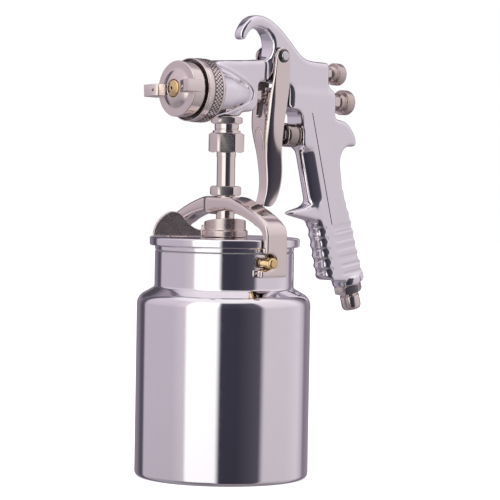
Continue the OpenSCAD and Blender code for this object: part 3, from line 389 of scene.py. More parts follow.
looks = {
    "gun_metal": metal("chrome", (0.90, 0.87, 0.91), (0.86, 0.83, 0.87), (0.05, 0.11), wave=2.5e-5),
    "cup_metal": metal("polished_cup", (0.90, 0.87, 0.90), (0.86, 0.83, 0.86), (0.06, 0.10),
                       grain=(25, 25, 2600), grain_depth=4e-6),
    "nickel": metal("nickel", (0.86, 0.77, 0.73), (0.80, 0.71, 0.68), (0.07, 0.13), wave=1.2e-5),
    "satin_nickel": metal("satin_nickel", (0.86, 0.77, 0.73), (0.80, 0.71, 0.67), (0.13, 0.19), wave=8e-6),
    "dark_nickel": metal("dark_nickel", (0.70, 0.60, 0.57), (0.64, 0.55, 0.52), (0.25, 0.29), wave=4e-6),
    "shaded_nickel": metal("shaded_nickel", (0.50, 0.43, 0.40), (0.40, 0.34, 0.32), (0.10, 0.16), wave=8e-6),
    # Darker metal used as painted shade: on the knurl's groove walls, inside the ring's mouth and on the
    # trigger's inner side
    "groove": metal("groove_shade", (0.27, 0.225, 0.21), (0.19, 0.16, 0.15), (0.35, 0.50)),
    "blued_steel": metal("blued_steel", (0.075, 0.073, 0.085), (0.045, 0.045, 0.055), (0.20, 0.32)),
    "steel": metal("steel", (0.80, 0.79, 0.79), (0.72, 0.71, 0.71), (0.14, 0.24)),
    "brass": metal("brass", (0.90, 0.68, 0.36), (0.80, 0.56, 0.26), (0.12, 0.22)),
    "seal_white": seal("white_seal", (0.78, 0.77, 0.72), (0.70, 0.69, 0.64), (0.45, 0.60)),
    "seal_black": seal("black_seal", (0.030, 0.030, 0.032), (0.018, 0.018, 0.020), (0.50, 0.70)),
}
pieces_in = {
    "gun_metal": "gun_body",
    "cup_metal": "cup cup_lid",
    "nickel": "yoke siphon_tube stem_collar tube_lock_nut coupling_nut fluid_inlet_fitting inlet_locknut "
              "air_cap retaining_ring fluid_bushing fan_valve_body trigger air_valve_body air_valve_gland "
              "air_inlet_nipple baffle packing_nut",
    "dark_nickel": "cam_lever fluid_knob fan_knob",
    "steel": "cap_snap_ring fluid_needle needle_spring fan_valve_stem trigger_pin trigger_clip "
             "air_valve_stem air_valve_spring",
    "brass": "cup_studs fluid_tip",
    "seal_white": "needle_packing air_valve_packing air_valve_seat",
    "seal_black": "lid_gasket fan_valve_seal",
}
slot_of = {n: s for s, names in pieces_in.items() for n in names.split()}
for n, ob in nodes.items():
    ob.data.materials.clear()
    ob.data.materials.append(looks[slot_of[n]])


def stands_for(ob, node, look="slot"):
    """Puts a finished piece in the place of a CAD node.

    Its look is its slot's, another one, or already on it.
    """
    ob.name = node + "_look"
    if look:
        ob.data.materials.clear()
        ob.data.materials.append(looks[slot_of[node] if look == "slot" else look])
    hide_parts(node)
    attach(ob, body_of[node])
    return ob


def rides_with(ob, node, name, look):
    """Adds a second piece beside a replaced node, with a finish of its own."""
    ob.name = name
    ob.data.materials.clear()
    ob.data.materials.append(looks[look])
    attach(ob, body_of[node])


# Cup
CUP_R = 53
CUP_WALL = 1.2
FLOOR_T = 1.8
BASE_ROUND = 3
SHOULDER_Z = 105
SHOULDER_ROUND = 8
NECK_R = 42.5
NECK_Z = 116.836
NECK_ROUND = 2
RIM_Z = 137.536
RIM_EASE = 0.4
mouth_r = NECK_R - CUP_WALL
outside = ([(0, 0)] + arc(CUP_R - BASE_ROUND, BASE_ROUND, BASE_ROUND, -90, 0)
           + arc(CUP_R - SHOULDER_ROUND, SHOULDER_Z, SHOULDER_ROUND, 0, 60, 14)
           + arc(NECK_R + NECK_ROUND, NECK_Z, NECK_ROUND, 240, 180))
rim = [(NECK_R, RIM_Z - RIM_EASE), (NECK_R - RIM_EASE, RIM_Z),
       (mouth_r + RIM_EASE, RIM_Z), (mouth_r, RIM_Z - RIM_EASE)]
inside = (arc(NECK_R + NECK_ROUND, NECK_Z, NECK_ROUND + CUP_WALL, 180, 240)
          + arc(CUP_R - SHOULDER_ROUND, SHOULDER_Z, SHOULDER_ROUND - CUP_WALL, 60, 0, 10)
          + arc(CUP_R - BASE_ROUND, BASE_ROUND, BASE_ROUND - CUP_WALL, 0, -60, 5) + [(0, FLOOR_T)])
stands_for(lathe("cup", outside + rim + inside, steps=256), "cup")

# Studs on the cup's neck
STUD_Z = 132.336
STUD_TURNS = (81.5, 261.5)
stud_profile = ([(0, 41.2), (2.5, 41.2), (2.8, 41.5), (2.8, 42.9), (3.1, 42.9), (3.3, 43.1), (3.3, 48.9),
                 (3.05, 49.1), (3.05, 49.5), (3.3, 49.7), (3.3, 51.6)]
                + arc(1.9, 52.1, 1.4, 0, 90, 6) + [(0, 53.5)])
studs = [lathe("stud", stud_profile, rotated(angle, "Z") @ moved(0, 0, STUD_Z) @ LYING, steps=64)
         for angle in STUD_TURNS]
stands_for(join(studs), "cup_studs")

# Lid: plug, band and flange, with a notch on each side for the yoke's leg and a vent hole
LID_Z = 138.336
LID_T = 1.2
FLANGE_Z = 140.736
LID_TOP = 146.136
PLUG_LOW = RIM_Z - 5
VENT_R = 32.3
lid = lathe("lid", [(0, LID_Z + LID_T), (38.3, LID_Z + LID_T), (38.3, PLUG_LOW), (40.9, PLUG_LOW),
                    (40.9, LID_Z), (42.3, LID_Z), (42.5, LID_Z + 0.2), (42.5, FLANGE_Z - 0.3),
                    (42.8, FLANGE_Z)]
            + arc(44.8, FLANGE_Z + 1, 1, -90, 0, 6) + arc(44.6, LID_TOP - 1.2, 1.2, 0, 90, 8)
            + [(0, LID_TOP)], steps=256)
for side in (1, -1):
    corners = sorted([(side * -8.7, side * 42.53, FLANGE_Z - 0.1), (side * 10.7, side * 48, LID_TOP + 2)])
    cut(lid, block("notch", *corners))
vent = prism("vent", 24, 2.4, 12, LID_Z - 2)
vent.data.transform(rotated(200, "Z") @ moved(VENT_R, 0, 0))
cut(lid, vent)
ease(lid, 0.7, 50)
smooth(lid)
stands_for(lid, "cup_lid")

# Siphon tube, with its foot cut at a slant
TUBE_R = 5.6
TUBE_BORE = 4.1
TUBE_FOOT = 7.8
TUBE_TOP = 204.5
FLARE_R = 6.2
FOOT_SLANT = math.radians(24)
tube = lathe("tube", [(TUBE_BORE, TUBE_FOOT), (TUBE_R, TUBE_FOOT), (TUBE_R, TUBE_TOP - 2),
                      (FLARE_R, TUBE_TOP - 2), (FLARE_R, TUBE_TOP - 0.5), (TUBE_R, TUBE_TOP),
                      (TUBE_BORE, TUBE_TOP), (TUBE_BORE, TUBE_FOOT)], steps=96)
edit(tube)
bpy.ops.mesh.bisect(plane_co=(TUBE_R * MM, 0, TUBE_FOOT * MM),
                    plane_no=(math.sin(FOOT_SLANT), 0, math.cos(FOOT_SLANT)), use_fill=True, clear_inner=True)
leave()
smooth(tube)
stands_for(tube, "siphon_tube")

# Nuts on the stem
TUBE_HOLE = 5.65
stands_for(nut("collar", 171.336, 6, 16.5, TUBE_HOLE), "stem_collar", "satin_nickel")
stands_for(nut("under_lid", 131.536, 4, 16.5, TUBE_HOLE), "tube_lock_nut", "satin_nickel")
stands_for(nut("coupling", 196.036, 15, 18.8, 5.9, collar=1.4), "coupling_nut", "satin_nickel")
stands_for(nut("locknut", 215.036, 4.45, 17, 7.43), "inlet_locknut", "satin_nickel")

# Fluid inlet fitting, with a thread relief
FITTING_LOW, FITTING_TOP = 204.9, 219.5
FITTING_R = 7.4
FITTING_BORE = 3.5
RELIEF_DEPTH = 0.25
fitting = lathe("fitting", [(FITTING_BORE, FITTING_LOW), (FITTING_R - 0.5, FITTING_LOW),
                            (FITTING_R, FITTING_LOW + 0.5), (FITTING_R, 211.4),
                            (FITTING_R - RELIEF_DEPTH, 211.6), (FITTING_R - RELIEF_DEPTH, 212),
                            (FITTING_R, 212.2), (FITTING_R, FITTING_TOP), (FITTING_BORE, FITTING_TOP),
                            (FITTING_BORE, FITTING_LOW)], steps=96)
stands_for(fitting, "fluid_inlet_fitting")

# Yoke
ARM_START, ARM_L = 10, 37
ARM_LOW, ARM_RISE = 150, 8
ARM_BOW = 1.7
LEG_TOP = 155


def yoke_bow(co):
    """Bows the yoke's arms upwards between hub and legs."""
    along = between((abs(co.y) / MM - ARM_START) / ARM_L)
    high = between((co.z / MM - ARM_LOW) / ARM_RISE)
    return Vector((0, 0, ARM_BOW * math.sin(math.pi * along) * high * MM))


def yoke_softness(co):
    """Full rounding on hub and arms, less on the hooked legs."""
    return 0.35 if co.z < LEG_TOP * MM else 1.0


stands_for(cast(cad_copy("yoke"), 0.45, 90, yoke_softness, yoke_bow), "yoke")

# Cam lever, cut to the thumb fin's round back and its hollow slope down to the ring
FIN_TURN = -37
FIN_MIDDLE, FIN_HALF, FIN_H = 32.4, 11.6, 15
FIN_REACH = 5
lever = cad_copy("cam_lever")
lever_z = min(v.co.z for v in lever.data.vertices) / MM
back_line = [(FIN_MIDDLE + FIN_HALF * math.cos(math.radians(a)), FIN_H * math.sin(math.radians(a)))
             for a in range(0, 121, 10)]
slope_line = [(24.6, 10.6), (23, 8.6), (21, 6.7), (18.6, 5.1), (16.4, 4.2), (14.3, 3.9)]
spare = plate("spare", [(60, -1), (44, -1)] + back_line + slope_line + [(14.3, 30), (60, 30)],
              -FIN_REACH, FIN_REACH, rotated(FIN_TURN, "Z") @ moved(0, 0, lever_z) @ SIDEWAYS)
cut(lever, spare)
stands_for(cast(lever, 0.35, 8), "cam_lever")

# Gun body: the casting with its fuller nose and rounder grip. Grip heights are along its lean
HALF_T = 7.5
CLEAR_Y = 9
HOOK_HALF_T = 6.9
NOSE = [(17.2, 16.9), (16.7, 14.5), (15.5, 10), (14.3, 5), (12.2, -2), (10.2, -8), (8.6, -12), (7.8, -14.3),
        (7, -15.4)]
NOSE_WALL = 2.2
GRIP_LEAN = 16.6
GRIP_R = 8.2
GRIP_X, GRIP_Z = -60.8, -33
GRIP = GUN @ moved(GRIP_X, 0, GRIP_Z) @ rotated(GRIP_LEAN, "Y") @ moved(-GRIP_R, 0, 0)
FILLER_LOW, FILLER_HIGH = -79, -44.5
RIBS_Z = -66


def body_softness(co):
    """Full rounding on the casting, less on the grip's ribs, over the air valve and at the hook's tip."""
    p = GUN.inverted() @ co / MM
    ahead = p.x - (GRIP_X + (p.z - GRIP_Z) * math.tan(math.radians(GRIP_LEAN)))
    if p.z < RIBS_Z and ahead < -6:
        return max(0.14, 1 - (RIBS_Z - p.z) / 7)
    if -62 < p.x < -45 and -19 < p.z < -4:
        return 0.22
    return 0.45 if p.z > 28 and p.x > -14 else 1.0


body = cad_copy("gun_body")
filler = bore_tool(GRIP_R, FILLER_LOW, FILLER_HIGH)
cut(filler, block("trim", (-20, -HALF_T, FILLER_LOW - 11), (20, HALF_T, FILLER_HIGH + 4.5)), "INTERSECT")
filler.data.transform(GRIP)
cut(body, filler, "UNION", "MANIFOLD")
nose_inside = [(r - NOSE_WALL, x) for r, x in reversed(NOSE)]
cut(body, lathe("swell", NOSE + nose_inside + NOSE[:1], ALONG_X, steps=120), "UNION", "MANIFOLD")

# Cuts on each side: a round front edge on the rear block, the sides thinner above the fold and on the hook,
# flanks on the grip above its spur, and the hollow waist that the trigger straddles
EDGE_X, EDGE_R = -52, 6
FOLD_LOW, FOLD_HIGH = 2.6, 7.2
ABOVE = 60
HOOK_LOW = 23.6
FLANK_CLEAR = (14, 10)
for side in (1, -1):
    outer = side * CLEAR_Y
    edge_y = HALF_T - EDGE_R
    bend = [(x, side * y) for x, y in arc(EDGE_X, edge_y, EDGE_R, 0, 90, 9)]
    front_edge = [(EDGE_X + 8, side * edge_y)] + bend + [(EDGE_X, outer), (EDGE_X + 8, outer)]
    thin = side * HOOK_HALF_T
    upper_side = [(side * (HALF_T + 0.02), FOLD_LOW), (thin, FOLD_HIGH), (thin, ABOVE), (outer, ABOVE),
                  (outer, FOLD_LOW)]
    hook_side = [(thin, HOOK_LOW), (thin, ABOVE), (outer, ABOVE), (outer, HOOK_LOW)]
    clear_x, clear_y = FLANK_CLEAR[0], side * FLANK_CLEAR[1]
    grip_flank = [(9, side * 2.0), (5, side * 4.7), (-0.5, side * (HALF_T + 0.02)), (-0.5, clear_y),
                  (clear_x, clear_y), (clear_x, side * 2.0)]
    waist = [(-25.3, side * 3.9), (-32.2, side * 6.2), (-32.2, outer), (-25.3, outer)]
    for name, outline, low, high, place in (("front_edge", front_edge, -6.4, 7.6, GUN),
                                            ("upper_side", upper_side, -95, -26.5, GUN @ CROSSWISE),
                                            ("hook_side", hook_side, -27, 2, GUN @ CROSSWISE),
                                            ("grip_flank", grip_flank, -33.5, 0.5, GRIP),
                                            ("waist", waist, 8, 24, GUN)):
        cut(body, plate(name, outline, low, high, place), solver="MANIFOLD")
cast(body, 0.66, 38, body_softness)

# Hollows for the fingers, running round the front of the grip
HOLLOW_DEPTH = 0.95
HOLLOW_R = 6.0
HOLLOW_N = 5
HOLLOW_TOP, HOLLOW_PITCH = -82.6, 6.4
for i in range(HOLLOW_N):
    level = (HOLLOW_TOP - HOLLOW_PITCH * i - GRIP_Z) / math.cos(math.radians(GRIP_LEAN))
    finger = lathe("finger", arc(GRIP_R + HOLLOW_R - HOLLOW_DEPTH, level, HOLLOW_R, 0, 360, 24), steps=96)
    cut(finger, block("rear_half", (-30, -30, level - 8), (0.8, 30, level + 8)))
    finger.data.transform(GRIP)
    cut(body, finger, solver="MANIFOLD")

# Hollow line where the round nose meets the flat sides, hollows between the ribs on the grip's sides, and a
# fine groove ahead of them
SEAM = [(18, 15.8), (10.2, 13.8), (5, 12.4), (-1.5, 9.9), (-7.4, 7.2), (-11.2, 5.1), (-13.5, 3.1),
        (-14.7, 1.0)]
SEAM_R, SEAM_Y = 1.2, 7.95
RIB_N = 6
RIB_R, RIB_Y = 2.9, 10.05
RIB_START = (-84.5, -84)
RIB_PITCH = (-1.75, -5.2)
RIB_STEP = (-5, 1)
RIB_RUN_OUT = 1.3
GROOVE = [(-65.2, -8.5), (-66.0, -8.5), (-87.2, -77.6), (-86.4, -77.6)]
GROOVE_DEPTH = 0.5
marks = []
for side in (1, -1):
    seam = [(x, side * SEAM_Y, z) for x, z in SEAM]
    marks.append(cord("seam", seam + [(x, y, -z) for x, y, z in reversed(seam)], SEAM_R, GUN))
    for i in range(RIB_N):
        x, z = (start + pitch * i for start, pitch in zip(RIB_START, RIB_PITCH))
        rib = [(x, side * (RIB_Y + RIB_RUN_OUT), z)]
        rib += [(x + RIB_STEP[0] * k, side * RIB_Y, z + RIB_STEP[1] * k) for k in range(1, 6)]
        marks.append(cord("rib", rib, RIB_R, GUN))
    face_y = side * HALF_T
    marks.append(plate("groove", GROOVE, face_y - GROOVE_DEPTH, face_y + GROOVE_DEPTH, GUN @ SIDEWAYS))
cut(body, join(marks))
smooth(body, 26)
stands_for(body, "gun_body")

# Fluid tip, with the hexagon that holds it in the nose
tip_outside = [(1, 44.3), (1, 44.9), (1.1, 45), (1.8, 45), (2.3, 44.75), (4.3, 44.2), (4.75, 44), (5, 43.6),
               (5, 37.5), (6, 25.9), (6, 10.4)]
tip_inside = [(3.5, 10.4), (3.5, 22.4), (1.9, 26.4), (1.9, 40), (1, 44.3)]
tip = lathe("tip", tip_outside + tip_inside, ALONG_X, steps=96)
hexagon = prism("hexagon", 6, 12.12, 4.4, 22.45)
hexagon.data.transform(ALONG_X)
cut(hexagon, bore_tool(5.5, 20, 30, ALONG_X, steps=48))
cut(tip, hexagon, "UNION")
smooth(tip)
stands_for(tip, "fluid_tip")

# Air cap with its two horns, turned a little on the gun
CAP_R = 16.8
CAP_FACE = 40.9
CAP_BACK = 25.1
CAP_TURN = GUN @ rotated(5, "X")
HORN_HALF = 3.6
JET_R = 0.9
HORN = [(38.7, 10.1), (46.8, 10.1), (49.2, 16.5), (49.2, 20.4), (38.7, 20.4)]
dome = [(5.4, 41.9), (5.4, 43.3), (5.6, 43.5), (5.95, 43.48), (6.7, 43.3), (8.4, 42.72), (10.2, 41.88),
        (11.4, 41.16), (11.9, 40.95), (12.5, CAP_FACE), (15.9, CAP_FACE)]
snap_groove = [(CAP_R, 27.43), (CAP_R - 0.6, 27.43), (CAP_R - 0.6, 26.27), (CAP_R, 26.27)]
cap_inside = [(CAP_R, CAP_BACK), (14.2, CAP_BACK), (14.2, 29.1), (6.9, 40.1), (5.4, 41.9)]
cap = lathe("cap", dome + arc(CAP_R - 0.6, CAP_FACE - 0.6, 0.6, 90, 0, 5) + snap_groove + cap_inside,
            CAP_TURN @ LYING, steps=192)
for half_turn in (0, 180):
    horn = plate("horn", HORN, -HORN_HALF, HORN_HALF)
    ease(horn, 0.3)
    jet = prism("jet", 32, 2 * JET_R, 8, -2)
    jet.data.transform(moved(48, 13.3, 0) @ rotated(-45, "Z") @ rotated(-90, "Y"))
    cut(horn, jet)
    horn.data.transform(CAP_TURN @ rotated(half_turn, "X"))
    cut(cap, horn, "UNION")
smooth(cap, 30)
stands_for(cap, "air_cap", "satin_nickel")

# Retaining ring: the turned ring, then its knurl, a belt of small diamonds between crossing grooves
RING_R = 19.3
RING_BORE = 18.1
RING_MOUTH_R, RING_MOUTH_X = 18.4, 27
KNURL_N = 52
KNURL_LOW, KNURL_HIGH, KNURL_ROWS = 20.1, 26.7, 5
KNURL_DEPTH = 0.45
KNURL_GROOVE = 0.22
ring_outside = [(RING_BORE, 17.3), (18.2, 17.3), (18.95, 18.5), (19.1, 18.9), (19.1, 20.0), (18.7, 20.2),
                (18.7, 26.6), (19.0, 26.8), (19.0, 29.5), (18.85, 29.65), (18.85, 29.9), (19, 30.05),
                (19, 30.8)]
ring_inside = [(18.3, 31.4), (18.3, 29.3), (17.1, 29.3), (17.1, 27.7), (RING_BORE, 27.7), (RING_BORE, 17.3)]
ring = lathe("ring", ring_outside + arc(18.5, 30.9, 0.5, 0, 90, 5) + ring_inside, steps=240)
bpy.ops.object.select_all(action="DESELECT")
bpy.ops.mesh.primitive_circle_add(vertices=2 * KNURL_N, radius=(RING_R - KNURL_DEPTH) * MM,
                                  location=(0, 0, KNURL_LOW * MM))
knurl = just_added("knurl")
bpy.ops.object.transform_apply(location=True)
edit(knurl)
row = (KNURL_HIGH - KNURL_LOW) / KNURL_ROWS
for i in range(KNURL_ROWS):
    bpy.ops.mesh.extrude_region_move(TRANSFORM_OT_translate={"value": (0, 0, row * MM)})
leave()


def at_crest(co):
    """Every second point of each row, with the rows set off against each other."""
    step = round(math.degrees(math.atan2(co.y, co.x)) / (180 / KNURL_N))
    level = round((co.z / MM - KNURL_LOW) / row)
    return (step + level) % 2 == 0 and 0 < level < KNURL_ROWS


pick(knurl, at_crest)
lift = RING_R / (RING_R - KNURL_DEPTH)
bpy.ops.transform.resize(value=(lift, lift, 1), center_override=(0, 0, 0))
bpy.ops.mesh.select_all(action="SELECT")
bpy.ops.mesh.quads_convert_to_tris(quad_method="SHORTEST_DIAGONAL")
leave()
pick(knurl, at_crest)
bpy.ops.mesh.dissolve_verts()
bpy.ops.mesh.select_all(action="SELECT")
bpy.ops.mesh.normals_make_consistent(inside=False)
bpy.ops.mesh.select_mode(type="FACE")
bpy.ops.mesh.select_all(action="SELECT")
bpy.ops.mesh.inset(thickness=KNURL_GROOVE * MM, depth=KNURL_DEPTH * MM, use_individual=True)
leave()
# The groove walls around each land take the darker groove look: painted shade in the grooves
lands = {f.index for f in knurl.data.polygons if f.select}
for face in knurl.data.polygons:
    face.material_index = 0 if face.index in lands else 1
edit(knurl)
bpy.ops.mesh.select_mode(type="VERT")
leave()
only(knurl)
bpy.ops.object.shade_flat()
for part in (ring, knurl):
    part.data.materials.append(looks["satin_nickel"])
    part.data.materials.append(looks["groove"])
# Faces inside the ring's mouth take the darker groove look as well: painted shade in the recess
for face in ring.data.polygons:
    r = math.hypot(face.center.x, face.center.y) / MM
    face.material_index = 1 if r < RING_MOUTH_R and face.center.z > RING_MOUTH_X * MM else 0
ring = join([ring, knurl])
ring.data.transform(ALONG_X)
stands_for(ring, "retaining_ring", None)

# Fluid needle, with the collar that the trigger pulls
needle_rear = [(0, -79.6), (1.9, -79.6), (2.2, -79.3), (2.2, -59), (4.6, -59), (4.6, -57), (2.2, -57)]
needle_collar = [(2.2, -38.4), (4.3, -38.4), (4.6, -38.1), (4.6, -33.7), (4.3, -33.4), (1.6, -33.4)]
needle_point = [(1.6, 39.7), (0.7, 44.1), (0, 44.1)]
stands_for(lathe("needle", needle_rear + needle_collar + needle_point, ALONG_X, steps=64), "fluid_needle")

# Nuts on the needle and on the fan valve
FAN_Z = 17.4
for name, x, length, af, bore, z, node in (("packing", -25.2, 5.15, 9, 1.9, 0, "packing_nut"),
                                           ("bushing", -92.4, 5.55, 9.4, 3.2, 0, "fluid_bushing"),
                                           ("fan_gland", -84.5, 4.15, 7.8, 2.5, FAN_Z, "fan_valve_body")):
    stands_for(nut(name, x, length, af, bore, turn=0, place=along_x(z)), node, "satin_nickel")

# Knobs
KNOB_L = 11
KNOB_ROUND = 2.4


def knob(name, x, r, inner, place):
    """A turned knob behind x, drawn from its end forwards: rounded end, band, hollow step and neck."""
    back = x - KNOB_L
    step_x = x - 0.36 * KNOB_L
    end = [(0, back + 0.5), (0.45 * r, back + 0.5), (0.52 * r, back + 0.12), (0.6 * r, back)]
    band = arc(r - KNOB_ROUND, back + KNOB_ROUND, KNOB_ROUND, -80, 0, 8) + [(r, step_x - 0.6)]
    edge = arc(r - 0.5, step_x - 0.5, 0.5, 10, 80, 4)
    neck = [(r - 1, step_x - 0.1), (0.80 * r, step_x - 0.35), (0.75 * r, step_x - 0.2),
            (0.73 * r, step_x + 0.3), (0.71 * r, x - 0.5), (0.66 * r, x)]
    return lathe(name, end + band + edge + neck + inner, place, steps=128)


fluid_screw = [(2.9, -92.7), (2.9, -85), (2.5, -84.6), (0, -84.6)]
fan_hole = [(2.3, -84.8), (2.3, -89.8), (0, -89.8)]
stands_for(knob("fluid_knob", -92.7, 7.9, fluid_screw, ALONG_X), "fluid_knob")
stands_for(knob("fan_knob", -84.8, 7, fan_hole, along_x(FAN_Z)), "fan_knob")

# Air valve: its nut, its gland and its stem
VALVE_Z = -23
VALVE_AXIS = along_x(VALVE_Z)
VALVE_BORE = 2.3
NUT_R = 7.4
NUT_END, NUT_ROUND = -47, 2.6
thread = [(VALVE_BORE, -66), (5.5, -66), (5.5, -57.4)]
flange = [(7.2, -57.37), (NUT_R, -57.2), (NUT_R, -56.7), (6.6, -56.3), (6.6, -55.5), (7.2, -55.15)]
pocket = [(4.05, NUT_END), (4.05, -53), (VALVE_BORE, -53), (VALVE_BORE, -66)]
band = [(NUT_R, -54.9), (NUT_R, -49.8)] + arc(NUT_R - NUT_ROUND, NUT_END - NUT_ROUND, NUT_ROUND, 0, 90, 10)
valve_nut = lathe("valve_nut", thread + flange + band + pocket, VALVE_AXIS, steps=128)
stands_for(valve_nut, "air_valve_body", "shaded_nickel")
gland = prism("valve_gland", 6, 8.4, 0.94, NUT_END + 0.03)
cut(gland, bore_tool(VALVE_BORE, -48, -45, steps=64))
ease(gland, 0.2, 24, 2)
gland.data.transform(VALVE_AXIS)
smooth(gland, 30)
stands_for(gland, "air_valve_gland")
stem = [(0, -72.8), (3.6, -72.8), (3.6, -70.6), (2, -70), (2, -35.6), (3, -35), (3, -33.8)]
stem_end = arc(0, -33.8, 1.2, 0, 90, 1) + [(0, -32.6)]
stands_for(lathe("valve_stem", stem + stem_end, VALVE_AXIS, steps=64), "air_valve_stem")

# Springs on the needle and on the valve's stem, each with a mesh of its own; the real springs shorten as the
# needle and the stem move
needle_spring = stands_for(coil("needle_spring", 3.9, 0.9, 8, -80.05, 20.3, ALONG_X), "needle_spring")
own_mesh(needle_spring)
valve_spring = stands_for(coil("valve_spring", 3, 0.8, 6, -92.3, 19, VALVE_AXIS), "air_valve_spring")
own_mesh(valve_spring)

# Trigger: a bent sheet. Rows run from the ears down, each with height and x of its front, height and x of its
# rear, and half widths of the flat front and of the rear
TRIGGER_ROWS = [
    (30.3, -34.8, 30.3, -38.2, 9.3, 9.9), (29.4, -33.4, 29.4, -39.6, 9.3, 10),
    (27.4, -31.8, 27.4, -41.2, 9.3, 10), (24, -31.0, 24, -42.0, 9.3, 10), (18, -30.5, 18, -42.4, 9.3, 10),
    (12, -30, 12, -42.5, 9.2, 10), (5, -28.9, 5, -42.2, 7.4, 10), (-2, -28, -2, -41.4, 5.3, 10),
    (-9, -27.4, -9, -40.4, 5.2, 10), (-15, -27, -15, -39.5, 5.1, 10), (-20, -27.1, -20, -39, 4.9, 9.9),
    (-25, -27.6, -25, -38.8, 4.5, 9.7), (-29, -28.4, -28.5, -38.8, 4.1, 9.4),
    (-33, -29.4, -32, -39.1, 3.7, 9.1), (-38, -30.3, -37, -39.8, 3.4, 8.7),
    (-44, -31.4, -43, -40.9, 3.1, 8.4), (-50, -32.4, -49, -41.4, 3, 8), (-56, -32.8, -55, -41.2, 3.1, 7.4),
    (-61.5, -32.2, -60, -40.2, 3.3, 6.8), (-65.8, -30.6, -65, -38.4, 3.5, 6.2),
    (-67.8, -30.6, -68.2, -35.4, 3.6, 5.6)]
ALONG_CHEEK = (0, 0.05, 0.16, 0.36, 0.65, 1)
ACROSS_FRONT = (0, 0.6)
TRIGGER_T = 1.6
PIVOT_X, PIVOT_Z = -36.5, 25


def cheek(u, z, depth):
    """How far the cheek stands out, 0 to 1, at u from front to rear: a round corner above, a flare below."""
    corner = 0.7 + 3.9 * between((9 - z) / 9) + 4 * between((-12 - z) / 18)
    flare = between((-20 - z) / 18)
    near = 1 - min(u * depth / corner, 1)
    return (1 - flare) * math.sqrt(1 - near * near) + flare * u ** 0.6


half_columns = len(ACROSS_FRONT) + len(ALONG_CHEEK) - 1
bpy.ops.object.select_all(action="DESELECT")
bpy.ops.mesh.primitive_grid_add(x_subdivisions=2 * half_columns, y_subdivisions=len(TRIGGER_ROWS) - 1,
                                size=1)
trigger = just_added("trigger_sheet")
across = sorted({round(v.co.x, 5) for v in trigger.data.vertices})
down = sorted({round(v.co.y, 5) for v in trigger.data.vertices}, reverse=True)
for v in trigger.data.vertices:
    front_z, front_x, rear_z, rear_x, front_w, rear_w = TRIGGER_ROWS[down.index(round(v.co.y, 5))]
    column = across.index(round(v.co.x, 5)) - half_columns
    step = abs(column)
    if step < len(ACROSS_FRONT):
        x, y, z = front_x, ACROSS_FRONT[step] * front_w, front_z
    else:
        u = ALONG_CHEEK[step - len(ACROSS_FRONT)]
        x = front_x + (rear_x - front_x) * u
        y = front_w + (rear_w - front_w) * cheek(u, front_z, front_x - rear_x)
        z = front_z + (rear_z - front_z) * u
    v.co = (x * MM, math.copysign(y, column) * MM if column else 0, z * MM)
edit(trigger)
bpy.ops.mesh.normals_make_consistent(inside=False)
leave()
front = max(trigger.data.polygons, key=lambda f: f.center.x)
if front.normal.x < 0:
    edit(trigger)
    bpy.ops.mesh.flip_normals()
    leave()
apply(trigger, "SUBSURF", levels=2, render_levels=2)
trigger.data.materials.append(looks["nickel"])
trigger.data.materials.append(looks["groove"])
# The solidified sheet's inner side takes the darker groove look: painted shade inside the bent sheet
apply(trigger, "SOLIDIFY", thickness=TRIGGER_T * MM, offset=-1, material_offset=1)
ease(trigger, 0.3, 50, 2)

# Window between the ears, slot for the needle, arched line pressed into the front, and the eye for the pin
SLOT_HALF, SLOT_END = 2.8, -11
ARCH_R = 0.75
window = block("window", (-60, -8.35, 5), (-20, 8.35, 40))
ease(window, 1.2, 50, 4)
cut(trigger, window, solver="MANIFOLD")
slot_line = ([(-SLOT_HALF, 9), (-SLOT_HALF, SLOT_END)] + arc(0, SLOT_END, SLOT_HALF, 195, 345, 10)
             + [(SLOT_HALF, SLOT_END), (SLOT_HALF, 9)])
slot = plate("slot", slot_line, -34, -25, CROSSWISE)
cut(trigger, slot, solver="MANIFOLD")
near_leg = [(-29.2, 3.1, -33.5), (-28.15, 3.4, -29.5), (-27.3, 3.4, -25.4), (-26.85, 2.5, -21.2)]
far_leg = [(x, -y, z) for x, y, z in reversed(near_leg)]
cut(trigger, cord("arch_line", near_leg + [(-26.75, 0, -19.4)] + far_leg, ARCH_R), solver="MANIFOLD")
eye = prism("eye", 48, 5.6, 40, -20)
eye.data.transform(moved(PIVOT_X, 0, PIVOT_Z) @ SIDEWAYS)
cut(trigger, eye, solver="MANIFOLD")
trigger.data.transform(GUN)
smooth(trigger, 40)
stands_for(trigger, "trigger", None)

# Trigger pin, with a dark washer under its head and a clip at its far end
PIVOT = GUN @ moved(PIVOT_X, 0, PIVOT_Z) @ rotated(-90, "X")
PIN_R = 2.5
PIN_HALF = 12.1
CLIP_BORE = 2.53
shank = [(0, -PIN_HALF), (2.1, -PIN_HALF), (PIN_R, -11.7), (PIN_R, 11)]
head = [(2.9, 11.1), (2.9, 11.5)] + arc(2.3, 11.5, 0.6, 0, 90, 4) + [(0, PIN_HALF)]
stands_for(lathe("pin", shank + head, PIVOT, steps=64), "trigger_pin")
washer = lathe("washer", [(PIN_R, 10.3), (3.85, 10.3), (4.15, 10.45), (4.15, 10.6), (3.7, 10.95),
                          (2.6, 10.98), (PIN_R, 10.9), (PIN_R, 10.3)], PIVOT, steps=64)
rides_with(washer, "trigger_pin", "pin_washer", "blued_steel")
clip = lathe("clip", [(CLIP_BORE, -11.1), (4.3, -11.1), (4.3, -10.3), (CLIP_BORE, -10.3), (CLIP_BORE, -11.1)],
             steps=64)
cut(clip, block("gap", (-1.2, 0, -12), (1.2, 5, -10)))
ease(clip, 0.15, 40, 2)
clip.data.transform(PIVOT)
smooth(clip)
stands_for(clip, "trigger_clip")

